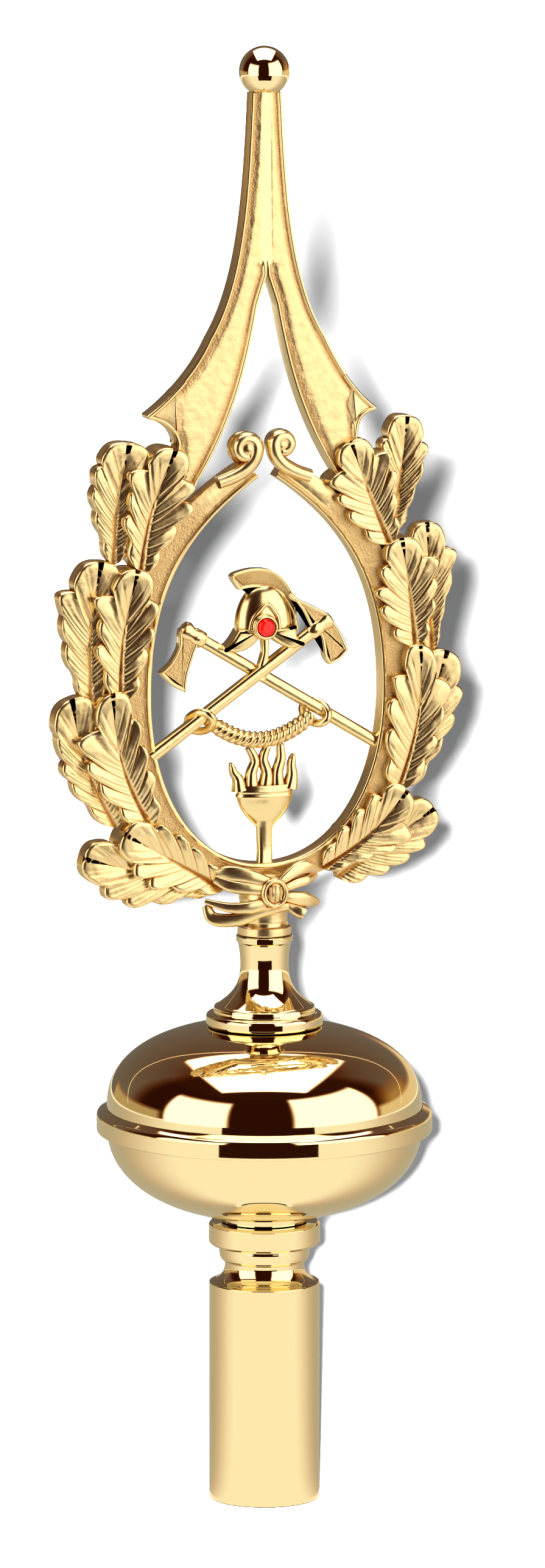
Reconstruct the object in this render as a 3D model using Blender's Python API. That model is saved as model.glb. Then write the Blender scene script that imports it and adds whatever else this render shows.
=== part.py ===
"""Flagpole finial of a fire brigade: a turned socket and ball that carry a cast oak wreath with an emblem in it.

Metres, +Z up, with the origin under the centre of the pole socket and the front of the wreath towards -Y.
"""

import math

import bmesh
import bpy
from mathutils import Matrix, Vector

MM = 0.001

# Outlines that are drawn point by point are in this unit
DRAWN = 1.0 * MM

# Fits
GAP = 0.3 * MM
SEGMENTS = 28
SMOOTH_ANGLE = math.radians(35)

# Pole socket: a tube that slips over the pole, a groove and a collar
SOCKET_RADIUS = 18.0 * MM
SOCKET_WALL = 1.5 * MM
SOCKET_LENGTH = 72.0 * MM
SOCKET_END_WALL = 4.0 * MM
GROOVE_RADIUS = 12.9 * MM
GROOVE_FLARE = 6.6 * MM
GROOVE_CONE = 5.6 * MM
GROOVE_CONE_RADIUS = 14.6 * MM
COLLAR_RADIUS = 18.1 * MM
COLLAR_HEIGHT = 7.6 * MM
COLLAR_CHAMFER = 0.7 * MM

# Ball: two spun halves under a belt
BALL_RADIUS = 51.2 * MM
BOWL_DEPTH = 31.3 * MM
BOWL_FULLNESS = 2.2
BOWL_SEAT_RADIUS = 14.0 * MM
BOWL_SEAT_HEIGHT = 1.2 * MM
BELT_RADIUS = 54.6 * MM
BELT_HEIGHT = 5.8 * MM
BELT_BEVEL = 2.0 * MM
DOME_HEIGHT = 27.4 * MM
DOME_FULLNESS = 2.35
BALL_STEPS = 7

# Spindle: a stepped flange and a trumpet foot that carry the wreath
FLANGE_RADIUS = 19.0 * MM
FLANGE_HEIGHT = 4.2 * MM
STEP_RADIUS = 16.4 * MM
STEP_HEIGHT = 2.4 * MM
TRUMPET_RADIUS = 15.8 * MM
TRUMPET_HEIGHT = 13.8 * MM
WAIST_RADIUS = 7.9 * MM
NECK_HEIGHT = 7.0 * MM
NECK_RADIUS = 8.7 * MM
RING_RADIUS = 9.2 * MM
RING_HEIGHT = 2.4 * MM

# Oval of the wreath, measured from the head's foot and along its inner edge
OVAL_RISE = 23.4 * MM
OVAL_HALF_WIDTH = 39.2 * MM
OVAL_LOWER = 56.0 * MM
OVAL_UPPER = 72.0 * MM
OVAL_FULLNESS = 2.15
OVAL_STEPS = 10
BAND_WIDTH = 9.5 * MM
BAND_FOOT_WIDTH = 6.5 * MM
BAND_TOP_WIDTH = 4.6 * MM
BAND_DEPTH = 3.5 * MM

# Volutes where the two ends of the band roll up
VOLUTE_RADIUS = 5.4 * MM
VOLUTE_DEPTH = 4.3 * MM
VOLUTE_RISE = 7.9 * MM
VOLUTE_SHIFT = 1.0 * MM
BUTTON_RADIUS = 3.1 * MM
BUTTON_DEPTH = 5.6 * MM

# Gable and spike above the oval
GABLE_DEPTH = 3.8 * MM
SPIKE_TOP_DEPTH = 2.9 * MM
RIM_WIDTH = 1.7 * MM
PANEL_DEPTH = 0.9 * MM
SPIKE_HEIGHT = 122.0 * MM
SPIKE_TOP_HALF = 5.1 * MM
LEFT_BARB_REACH = 40.5 * MM
RIGHT_BARB_REACH = 37.0 * MM
BARB_RISE = 19.5 * MM
NOTCH_RISE = 9.5 * MM
NOTCH_HALF = 30.5 * MM
SHOULDER_HALF = 19.5 * MM
SHOULDER_RISE = 43.5 * MM
SLIT_TOP = 63.5 * MM
SLIT_HALF = 24.0 * MM
TOP_BALL_RADIUS = 8.2 * MM

# Oak leaves
LEAF_LINE = 10.0 * MM
FRONT_LEAF = {"edge": 4.5 * MM, "crest": 6.6 * MM, "rib": 5.5 * MM}
BACK_LEAF = {"edge": 2.2 * MM, "crest": 3.9 * MM, "rib": 3.1 * MM}
FRONT_HALF_WIDTH = 10.6 * MM
BACK_HALF_WIDTH = 10.4 * MM
BACK_LEAF_SHIFT = 6.2 * MM
LEAF_LOBES = 4
LOBE_CUT = 0.24
LOBE_LEAN = 0.05
LEAF_BEND = 1.5 * MM
LEAF_LIFT = 1.3 * MM

# Each twig: share of the way up the band, then lean in degrees and length of its front and its back leaf
LEFT_TWIGS = (
    (0.107, 66.0, 37.0 * MM, 74.0, 40.0 * MM),
    (0.280, 19.0, 47.0 * MM, 25.0, 47.0 * MM),
    (0.500, -7.0, 43.0 * MM, 3.0, 46.0 * MM),
    (0.715, -16.0, 42.0 * MM, 2.0, 42.0 * MM),
)
RIGHT_TWIGS = (
    (0.115, 48.0, 37.0 * MM, 55.0, 38.0 * MM),
    (0.328, 8.0, 47.0 * MM, 15.0, 47.0 * MM),
    (0.552, -9.0, 38.0 * MM, 0.0, 42.0 * MM),
    (0.755, -22.0, 38.0 * MM, 5.0, 41.0 * MM),
)

# Foot of the head and its ribbon bow
FOOT_RADIUS = 8.0 * MM
FOOT_WAIST_RADIUS = 6.6 * MM
KNOT_RISE = 12.6 * MM
KNOT_RADIUS = 4.7 * MM
KNOT_REACH = 12.4 * MM
RIBBON_THICKNESS = 2.4 * MM

# Emblem inside the oval; heights are above the oval's widest place
HAFT_WIDTH = 3.3 * MM
LEFT_AXE_TOP = (-25.6 * MM, 20.3 * MM)
LEFT_AXE_END_RISE = -19.0 * MM
RIGHT_AXE_TOP = (19.8 * MM, 21.9 * MM)
RIGHT_AXE_END_RISE = -19.5 * MM
FRONT_HAFT_Y = -1.6 * MM
BACK_HAFT_Y = 0.9 * MM
BLADE_DEPTH = 2.0 * MM
KNOB_LENGTH = 2.6 * MM
KNOB_HALF = 2.3 * MM
ROPE_RADIUS = 2.7 * MM
ROPE_SAG = 7.5 * MM
ROPE_LOOP_RADIUS = 4.7 * MM
HELMET_RADIUS = 10.2 * MM
HELMET_DEPTH = 5.0 * MM
HELMET_RISE = 21.5 * MM
HELMET_HEIGHT = 14.5 * MM
CREST_DEPTH = 1.6 * MM
TORCH_RADIUS = 10.0 * MM
TORCH_DEPTH = 4.0 * MM
TORCH_BASE = -43.5 * MM
TORCH_LIP = -30.5 * MM
TORCH_STEM_HALF = 2.6 * MM
FLAME_TOP = -16.5 * MM
STONE_RADIUS = 2.9 * MM
STONE_HEIGHT = 1.9 * MM
SEAT_DEPTH = 1.0 * MM
ROSETTE_RADIUS = 4.2 * MM
ROSETTE_DEPTH = 6.4 * MM
STONE_CENTRE = (-1.3 * MM, 21.6 * MM)

LIE_BACK = Matrix.Rotation(math.pi / 2, 3, "X")

# Heights, each resting on the one below
COLLAR_BASE = SOCKET_LENGTH + GROOVE_FLARE + GROOVE_CONE
COLLAR_TOP = COLLAR_BASE + COLLAR_HEIGHT
BOWL_BASE = COLLAR_TOP + GAP
BELT_BASE = BOWL_BASE + BOWL_DEPTH - BELT_HEIGHT / 4
BELT_TOP = BELT_BASE + BELT_HEIGHT
DOME_BASE = BELT_TOP + BELT_BEVEL + GAP


def dome_height(radius):
    """Height of the dome's surface at a distance from the axis."""
    share = min(radius / BALL_RADIUS, 1.0)
    return DOME_BASE + DOME_HEIGHT * (1 - share**DOME_FULLNESS) ** (1 / DOME_FULLNESS)


FLANGE_BASE = dome_height(FLANGE_RADIUS) + GAP
TRUMPET_BASE = FLANGE_BASE + FLANGE_HEIGHT + STEP_HEIGHT
WAIST_HEIGHT = TRUMPET_BASE + TRUMPET_HEIGHT
RING_BASE = WAIST_HEIGHT + NECK_HEIGHT
SPINDLE_TOP = RING_BASE + RING_HEIGHT
HEAD_FOOT = SPINDLE_TOP + GAP
OVAL_FOOT = HEAD_FOOT + OVAL_RISE
OVAL_WAIST = OVAL_FOOT + OVAL_LOWER
OVAL_TOP = OVAL_WAIST + OVAL_UPPER
SPIKE_TOP = OVAL_TOP + SPIKE_HEIGHT
TOP_BALL_CENTRE = SPIKE_TOP + GAP + math.sqrt(TOP_BALL_RADIUS**2 - SPIKE_TOP_HALF**2)


def material(name, colour, roughness, metallic):
    """A plain Principled material."""
    made = bpy.data.materials.new(name)
    made.use_nodes = True
    shader = made.node_tree.nodes["Principled BSDF"]
    shader.inputs["Base Color"].default_value = (*colour, 1.0)
    shader.inputs["Roughness"].default_value = roughness
    shader.inputs["Metallic"].default_value = metallic
    return made


def link(name, bm, paint=None):
    """Puts a bmesh into the scene as an object; one without paint is a helper that stays out of the render."""
    bmesh.ops.recalc_face_normals(bm, faces=bm.faces)
    mesh = bpy.data.meshes.new(name)
    bm.to_mesh(mesh)
    bm.free()
    obj = bpy.data.objects.new(name, mesh)
    bpy.context.scene.collection.objects.link(obj)
    if paint is None:
        obj.hide_render = True
        obj.display_type = "WIRE"
    else:
        mesh.materials.append(paint)
        mesh.shade_smooth()
        mesh.set_sharp_from_angle(angle=SMOOTH_ANGLE)
    return obj


def turned(profile, segments=SEGMENTS, depth_share=1.0):
    """A bmesh turned round Z from (radius, height) points that start and end on the axis."""
    bm = bmesh.new()
    verts = [bm.verts.new((radius, 0, height)) for radius, height in profile]
    edges = [bm.edges.new(pair) for pair in zip(verts, verts[1:])]
    bmesh.ops.spin(bm, geom=verts + edges, axis=(0, 0, 1), cent=(0, 0, 0), angle=math.tau, steps=segments)
    bmesh.ops.remove_doubles(bm, verts=bm.verts, dist=0.001 * MM)
    bmesh.ops.dissolve_degenerate(bm, edges=bm.edges, dist=0.001 * MM)
    bmesh.ops.scale(bm, verts=bm.verts, vec=(1, depth_share, 1))
    return bm


def slab(outline, depth):
    """A bmesh of an (x, z) outline that reaches the same depth in front and behind."""
    return prism(outline, lambda z: -depth, lambda z: depth)


def prism(outline, front, back):
    """A bmesh of an (x, z) outline between two faces, each given as y at a height."""
    bm = bmesh.new()
    rows = [[bm.verts.new((x, face(z), z)) for x, z in outline] for face in (front, back)]
    bm.faces.new(rows[0])
    bm.faces.new(reversed(rows[1]))
    for i in range(len(outline)):
        bm.faces.new((rows[0][i - 1], rows[1][i - 1], rows[1][i], rows[0][i]))
    return bm


def swept(centres, sections):
    """A bmesh through closed sections, each a list of offsets from its centre, with flat ends."""
    bm = bmesh.new()
    rings = []
    for centre, section in zip(centres, sections):
        rings.append([bm.verts.new(Vector(centre) + Vector(shift)) for shift in section])
    close_rings(bm, rings)
    return bm


def close_rings(bm, rings):
    """Triangles between rings of vertices, and over each end."""
    for lower, upper in zip(rings, rings[1:]):
        for i in range(len(lower)):
            bm.faces.new((lower[i - 1], lower[i], upper[i], upper[i - 1]))
    bm.faces.new(rings[0])
    bm.faces.new(reversed(rings[-1]))
    bmesh.ops.triangulate(bm, faces=bm.faces)


def bezier(points, steps):
    """Points along a cubic Bezier curve."""
    made = []
    for i in range(steps + 1):
        t = i / steps
        weights = ((1 - t) ** 3, 3 * t * (1 - t) ** 2, 3 * t * t * (1 - t), t**3)
        made.append(tuple(sum(w * c for w, c in zip(weights, axis)) for axis in zip(*points)))
    return made


def quarter(start, corner, end, steps):
    """A quarter round from start to end that bulges to the corner."""
    made = []
    for i in range(steps + 1):
        turn = math.pi / 2 * i / steps
        near, far = 1 - math.sin(turn), 1 - math.cos(turn)
        made.append(tuple(c + (a - c) * near + (b - c) * far for a, b, c in zip(start, end, corner)))
    return made


def oval_side():
    """Right half of the oval's inner edge, from its foot to its pointed top."""
    lower = []
    for i in range(OVAL_STEPS):
        turn = math.pi / 2 * i / OVAL_STEPS
        x = OVAL_HALF_WIDTH * math.sin(turn) ** (2 / OVAL_FULLNESS)
        lower.append((x, OVAL_WAIST - OVAL_LOWER * math.cos(turn) ** (2 / OVAL_FULLNESS)))
    upper = bezier(
        (
            (OVAL_HALF_WIDTH, OVAL_WAIST),
            (OVAL_HALF_WIDTH, OVAL_WAIST + 0.47 * OVAL_UPPER),
            (0.72 * OVAL_HALF_WIDTH, OVAL_WAIST + 0.75 * OVAL_UPPER),
            (0.0, OVAL_TOP),
        ),
        OVAL_STEPS,
    )
    return lower + upper


def outward(points, index):
    """Direction square to a half outline, away from the oval."""
    before = Vector(points[max(index - 1, 0)])
    after = Vector(points[min(index + 1, len(points) - 1)])
    along = (after - before).normalized()
    return Vector((along.y, -along.x))


def band_width(share):
    """Width of the band from the foot (0) to the top (1)."""
    if share < 0.25:
        return BAND_FOOT_WIDTH + (BAND_WIDTH - BAND_FOOT_WIDTH) * share / 0.25
    if share < 0.8:
        return BAND_WIDTH
    return BAND_WIDTH + (BAND_TOP_WIDTH - BAND_WIDTH) * (share - 0.8) / 0.2


def on_leaf_line(share, side):
    """A point on the line where the leaves start, a share of the way up one side of the oval."""
    inner = oval_side()
    place = share * (len(inner) - 1)
    index = min(int(place), len(inner) - 2)
    start = Vector(inner[index]) + outward(inner, index) * LEAF_LINE
    end = Vector(inner[index + 1]) + outward(inner, index + 1) * LEAF_LINE
    point = start.lerp(end, place - index)
    return Vector((side * point.x, point.y))


def oval(inset=0.0):
    """Outline of the oval opening, all the way round, a little smaller by the inset."""
    side = oval_side()
    shifted = [Vector(p) - outward(side, i) * inset for i, p in enumerate(side)]
    right = [(p.x, p.y) for p in shifted[1:-1]]
    foot = (0.0, OVAL_FOOT + inset)
    top = (0.0, OVAL_TOP - 2 * inset)
    return [foot] + right + [top] + [(-x, z) for x, z in reversed(right)]


def band():
    """The oval band before its opening is cut, from the left top round the foot to the right top."""
    side = oval_side()
    last = len(side) - 1
    outer = [Vector(p) + outward(side, i) * band_width(i / last) for i, p in enumerate(side)]
    right = [(p.x, p.y) for p in outer]
    cleft = (0.0, right[-1][1] - 2 * DRAWN)
    return slab([(-x, z) for x, z in right[:0:-1]] + right + [cleft], BAND_DEPTH)


def volute(side):
    """A rolled end of the band with its button and the neck that brings it up from the band."""
    centre = Vector((side * (VOLUTE_RADIUS + 0.6 * DRAWN) - VOLUTE_SHIFT, 0, OVAL_TOP + VOLUTE_RISE))
    roll = turned(
        [
            (0, -VOLUTE_DEPTH),
            (0.75 * VOLUTE_RADIUS, -VOLUTE_DEPTH),
            (VOLUTE_RADIUS, -0.6 * VOLUTE_DEPTH),
            (VOLUTE_RADIUS, 0.6 * VOLUTE_DEPTH),
            (0.75 * VOLUTE_RADIUS, VOLUTE_DEPTH),
            (0, VOLUTE_DEPTH),
        ],
        segments=16,
    )
    button = turned(
        [
            (0, -BUTTON_DEPTH),
            (0.6 * BUTTON_RADIUS, -0.96 * BUTTON_DEPTH),
            (BUTTON_RADIUS, -0.8 * BUTTON_DEPTH),
            (BUTTON_RADIUS, 0.8 * BUTTON_DEPTH),
            (0.6 * BUTTON_RADIUS, 0.96 * BUTTON_DEPTH),
            (0, BUTTON_DEPTH),
        ],
        segments=10,
    )
    for bm, shift in ((roll, Vector()), (button, Vector((-side * 0.8 * DRAWN, 0, 0.4 * DRAWN)))):
        bmesh.ops.rotate(bm, verts=bm.verts, matrix=LIE_BACK)
        bmesh.ops.translate(bm, verts=bm.verts, vec=centre + shift)
    neck = [
        (side * 0.1 * DRAWN, OVAL_TOP + 0.3 * VOLUTE_RISE),
        (side * 0.1 * DRAWN, OVAL_TOP + 0.9 * VOLUTE_RISE),
        (centre.x, centre.z),
        (centre.x + side * 0.6 * VOLUTE_RADIUS, centre.z - 0.6 * VOLUTE_RADIUS),
        (side * 1.4 * VOLUTE_RADIUS, OVAL_TOP - 0.3 * VOLUTE_RISE),
    ]
    return roll, button, slab(neck, 0.96 * BAND_DEPTH)


def gable_curves(reach, inset=0.0):
    """Half of the gable's outline: the outer edge down to the barb, the barb's hollow, the slit's edge upwards."""
    spike = bezier(
        (
            (SPIKE_TOP_HALF, SPIKE_TOP),
            (1.27 * SPIKE_TOP_HALF, OVAL_TOP + 0.754 * SPIKE_HEIGHT),
            (1.57 * SPIKE_TOP_HALF, OVAL_TOP + 0.508 * SPIKE_HEIGHT),
            (SHOULDER_HALF, OVAL_TOP + SHOULDER_RISE),
        ),
        7,
    )
    flank = bezier(
        (
            (SHOULDER_HALF, OVAL_TOP + SHOULDER_RISE),
            (1.23 * SHOULDER_HALF, OVAL_TOP + 0.78 * SHOULDER_RISE),
            (0.8 * reach, OVAL_TOP + 0.575 * SHOULDER_RISE),
            (reach, OVAL_TOP + BARB_RISE),
        ),
        4,
    )
    hollow = bezier(
        (
            (reach - 0.5 * DRAWN, OVAL_TOP + BARB_RISE - 1.2 * DRAWN),
            (reach - 6 * DRAWN, OVAL_TOP + BARB_RISE - 2.5 * DRAWN),
            (1.02 * NOTCH_HALF, OVAL_TOP + 1.5 * NOTCH_RISE),
            (NOTCH_HALF, OVAL_TOP + NOTCH_RISE),
        ),
        4,
    )
    slit = bezier(
        (
            (SLIT_HALF, OVAL_TOP - 0.05 * SLIT_TOP),
            (0.54 * SLIT_HALF, OVAL_TOP + 0.22 * SLIT_TOP),
            (0.31 * SLIT_HALF, OVAL_TOP + 0.47 * SLIT_TOP),
            (0.13 * SLIT_HALF, OVAL_TOP + 0.85 * SLIT_TOP),
        ),
        6,
    )
    return [offset(curve, inset) for curve in (spike + flank[1:], hollow, slit)]


def offset(points, distance):
    """A curve shifted to its right hand side, as seen going along it with z up."""
    made = []
    for i, (x, z) in enumerate(points):
        before, after = points[max(i - 1, 0)], points[min(i + 1, len(points) - 1)]
        run = Vector((after[0] - before[0], after[1] - before[1])).normalized()
        made.append((x + run.y * distance, z - run.x * distance))
    return made


def gable_outline():
    """Outline of the whole gable with its slit."""
    halves = []
    for reach in (RIGHT_BARB_REACH, LEFT_BARB_REACH):
        flank, hollow, slit = gable_curves(reach)
        foot = [(31.5 * DRAWN, OVAL_TOP - 8 * DRAWN), (26.0 * DRAWN, OVAL_TOP - 8 * DRAWN)]
        halves.append(flank + hollow + foot + slit)
    return halves[0] + [(0.0, OVAL_TOP + SLIT_TOP)] + [(-x, z) for x, z in reversed(halves[1])]


def panel_outline():
    """Outline of the sunk panel, a rim's width inside the gable's outline."""
    halves = []
    for reach in (RIGHT_BARB_REACH, LEFT_BARB_REACH):
        flank, hollow, slit = gable_curves(reach, RIM_WIDTH)
        corner = (reach - 8.5 * DRAWN, OVAL_TOP + BARB_RISE + 0.2 * DRAWN)
        flank = [(x, z) for x, z in flank if z < SPIKE_TOP - RIM_WIDTH and z > corner[1] + 1 * DRAWN]
        hollow = [(x, z) for x, z in hollow if x < corner[0] - 0.5 * DRAWN]
        top = (SPIKE_TOP_HALF - RIM_WIDTH, SPIKE_TOP - RIM_WIDTH)
        halves.append([top] + flank + [corner] + hollow + slit)
    apex = (0.0, OVAL_TOP + SLIT_TOP + 3 * RIM_WIDTH)
    return halves[0] + [apex] + [(-x, z) for x, z in reversed(halves[1])]


def gable_depth(z):
    """Half thickness of the gable at a height."""
    share = (z - OVAL_TOP) / SPIKE_HEIGHT
    return GABLE_DEPTH + (SPIKE_TOP_DEPTH - GABLE_DEPTH) * share


def gable():
    """Spike and gable, and the cutters of their sunk panels in front and behind."""
    body = prism(gable_outline(), lambda z: -gable_depth(z), gable_depth)
    front = prism(panel_outline(), lambda z: -2 * GABLE_DEPTH, lambda z: PANEL_DEPTH - gable_depth(z))
    back = prism(panel_outline(), lambda z: gable_depth(z) - PANEL_DEPTH, lambda z: 2 * GABLE_DEPTH)
    return body, front, back


def leaf(base, lean, length, half_width, layer, side):
    """A lobed oak leaf, ridged on both sides of its rib in front and plainer behind."""
    lean = math.radians(lean)
    along = Vector((side * math.sin(lean), 0, math.cos(lean)))
    across = Vector((along.z, 0, -along.x)) * side
    start = Vector((base.x, 0, base.y))
    rows = 2 * LEAF_LOBES
    bm = bmesh.new()
    rings = []
    for row in range(rows + 1):
        share = row / rows
        envelope = math.sin(math.pi * (0.04 + 0.90 * share) ** 1.25) ** 0.62
        width = half_width * envelope * (1 - LOBE_CUT if row % 2 == 0 else 1.0)
        rib = start + along * (length * share) + across * (LEAF_BEND * math.sin(math.pi * share))
        push = along * (LOBE_LEAN * length * share) if row % 2 else Vector()
        swell = math.sin(math.pi * (0.1 + 0.85 * share)) ** 0.5
        edge = layer["edge"] + LEAF_LIFT * (share - 0.5)
        crest = edge + (layer["crest"] - layer["edge"]) * swell
        groove = edge + (layer["rib"] - layer["edge"]) * swell
        section = (
            (-1.0, -edge),
            (-0.5, -crest),
            (0.0, -groove),
            (0.5, -crest),
            (1.0, -edge),
            (1.0, edge),
            (0.0, crest),
            (-1.0, edge),
        )
        ring = [rib + across * (a * width) + push * abs(a) + Vector((0, y, 0)) for a, y in section]
        rings.append([bm.verts.new(point) for point in ring])
    close_rings(bm, rings)
    return bm


def ribbon(points, width, taper=1.0):
    """A flat ribbon along (x, y, z) points, standing on edge, that narrows to a share of its width."""
    points = [Vector(p) for p in points]
    sections = []
    for i in range(len(points)):
        along = (points[min(i + 1, len(points) - 1)] - points[max(i - 1, 0)]).normalized()
        across = Vector((0, 1, 0)).cross(along).normalized()
        half = across * width / 2 * (1 + (taper - 1) * i / (len(points) - 1))
        thick = Vector((0, RIBBON_THICKNESS / 2, 0))
        sections.append((-half - thick, half - thick, half + thick, -half + thick))
    return swept(points, sections)


def head_foot():
    """Round foot of the head, between the spindle and the band."""
    top = OVAL_FOOT - 1.5 * DRAWN
    return turned(
        [
            (0, HEAD_FOOT),
            (FOOT_RADIUS, HEAD_FOOT),
            (FOOT_RADIUS, HEAD_FOOT + 1.5 * DRAWN),
            (FOOT_WAIST_RADIUS, HEAD_FOOT + 4.5 * DRAWN),
            (FOOT_WAIST_RADIUS, HEAD_FOOT + 9 * DRAWN),
            (FOOT_RADIUS, HEAD_FOOT + 12 * DRAWN),
            (0.9 * FOOT_RADIUS, top - 3 * DRAWN),
            (0.5 * FOOT_RADIUS, top),
            (0, top),
        ],
        segments=24,
    )


def bow():
    """Knot, loops and tails of the ribbon tied round the foot."""
    z = HEAD_FOOT + KNOT_RISE
    front = -FOOT_RADIUS
    knot = turned(
        [
            (0, -KNOT_REACH),
            (0.7 * KNOT_RADIUS, -KNOT_REACH),
            (KNOT_RADIUS, 1.2 * DRAWN - KNOT_REACH),
            (KNOT_RADIUS, 0.3 * front),
            (0, 0.3 * front),
        ],
        segments=16,
    )
    bmesh.ops.rotate(knot, verts=knot.verts, matrix=LIE_BACK)
    bmesh.ops.scale(knot, verts=knot.verts, vec=(1, -1, 1))
    bmesh.ops.translate(knot, verts=knot.verts, vec=(0, 0, z))
    made = [knot]
    for side in (-1, 1):
        upper = ((1, 0, 1), (8, 1, 6), (15, 2.5, 8), (18.5, 3.5, 7))
        lower = ((1, 0, 0), (8, 0.5, 2), (14, 2, 4), (18.5, 3.5, 6.4))
        for path, width in ((upper, 4.4), (lower, 3.6)):
            points = [(side * x * DRAWN, front + y * DRAWN, z + h * DRAWN) for x, y, h in path]
            made.append(ribbon(points, width * DRAWN, 0.6))
    left_tail = ((-1, 0, -1), (-9, 1, -4), (-16, 3, -5), (-21.5, 5, -3))
    right_tail = ((1, 0, -1), (7, 1, -4), (11, 2.5, -6), (14.5, 4, -5.5))
    fold = ((-20, 4.5, -4), (-18, 3.5, -8.5), (-11, 2.5, -9), (-3, 2, -6))
    for path, width, taper in ((left_tail, 5.0, 0.5), (right_tail, 5.0, 0.7), (fold, 4.5, 1.0)):
        points = [(x * DRAWN, front + y * DRAWN, z + h * DRAWN) for x, y, h in path]
        made.append(ribbon(points, width * DRAWN, taper))
    return made


def bar(start, end, half, depth, y):
    """A straight bar of rectangular section with its four long edges cut off."""
    start, end = Vector((start[0], y, start[1])), Vector((end[0], y, end[1]))
    along = (end - start).normalized()
    across = Vector((0, 1, 0)).cross(along)
    cut = 0.35
    section = []
    for a, b in ((1, cut), (cut, 1), (-cut, 1), (-1, cut), (-1, -cut), (-cut, -1), (cut, -1), (1, -cut)):
        section.append(across * (a * half) + Vector((0, b * depth, 0)))
    return swept((start, end), (section, section))


def local(points, x=0.0, z=0.0):
    """Drawn points placed beside (x, z)."""
    return [(x + a * DRAWN, z + b * DRAWN) for a, b in points]


def axes():
    """Two crossed axes: hafts, polls and blades."""
    z = OVAL_WAIST
    left_top = (LEFT_AXE_TOP[0], z + LEFT_AXE_TOP[1])
    right_top = (RIGHT_AXE_TOP[0], z + RIGHT_AXE_TOP[1])
    left_end = (OVAL_HALF_WIDTH, z + LEFT_AXE_END_RISE)
    right_end = (-OVAL_HALF_WIDTH, z + RIGHT_AXE_END_RISE)
    half = HAFT_WIDTH / 2
    made = []
    for top, end, y in ((left_top, left_end, BACK_HAFT_Y), (right_top, right_end, FRONT_HAFT_Y)):
        made.append(bar(top, end, half, half, y))
        along = (Vector(top) - Vector(end)).normalized()
        knob_start, knob_end = Vector(top) - along * 1.5 * DRAWN, Vector(top) + along * KNOB_LENGTH
        made.append(bar(knob_start, knob_end, KNOB_HALF, KNOB_HALF, y))
    left_blade = (
        (-2.6, 1.4),
        (3.4, -2.2),
        (1.8, -6.5),
        (-0.6, -14),
        (-1.2, -19.6),
        (-5.6, -16.8),
        (-10.0, -12.6),
        (-5.2, -8.6),
        (-3.2, -4),
    )
    right_blade = (
        (-0.5, 3.8),
        (-7, 7.0),
        (-12.5, 9.6),
        (-8.4, 4.5),
        (-4.8, -1.8),
        (-1.2, -4.3),
        (-0.4, -11.5),
        (1.4, -13.8),
        (7.6, -9.2),
        (5.0, -3),
        (1.8, 0.8),
    )
    for outline, (x, y) in ((left_blade, left_top), (right_blade, right_top)):
        made.append(slab(local(outline, x, y), BLADE_DEPTH))
    return made


def rope():
    """The rope hung between the hafts, with a loop round each."""
    z = OVAL_WAIST - 8 * DRAWN
    span_left, span_right = -20.0 * DRAWN, 15.5 * DRAWN
    middle = (span_left + span_right) / 2
    points = []
    for i in range(9):
        x = span_left + (span_right - span_left) * i / 8
        reach = (x - middle) / (span_right - middle)
        points.append(Vector((x, -2.2 * DRAWN, z - ROPE_SAG * (1 - reach * reach))))
    sections = []
    for i in range(len(points)):
        along = (points[min(i + 1, 8)] - points[max(i - 1, 0)]).normalized()
        across = Vector((0, 1, 0)).cross(along)
        turns = [math.tau * (k + 0.5) / 8 for k in range(8)]
        sections.append([(across * math.cos(t) + Vector((0, math.sin(t), 0))) * ROPE_RADIUS for t in turns])
    made = [swept(points, sections)]
    half, outer = 1.7 * DRAWN, ROPE_LOOP_RADIUS
    for x, rise, lean in ((span_left - 3.2 * DRAWN, 1.2 * DRAWN, 52.0), (span_right + 1.2 * DRAWN, 0.4 * DRAWN, -57.0)):
        loop = turned([(0, -half), (outer, -half), (outer + 0.5 * DRAWN, 0), (outer, half), (0, half)], segments=10)
        bmesh.ops.rotate(loop, verts=loop.verts, matrix=Matrix.Rotation(math.radians(lean), 3, "Y"))
        bmesh.ops.translate(loop, verts=loop.verts, vec=(x, -1.0 * DRAWN, z + rise))
        made.append(loop)
    return made


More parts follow.
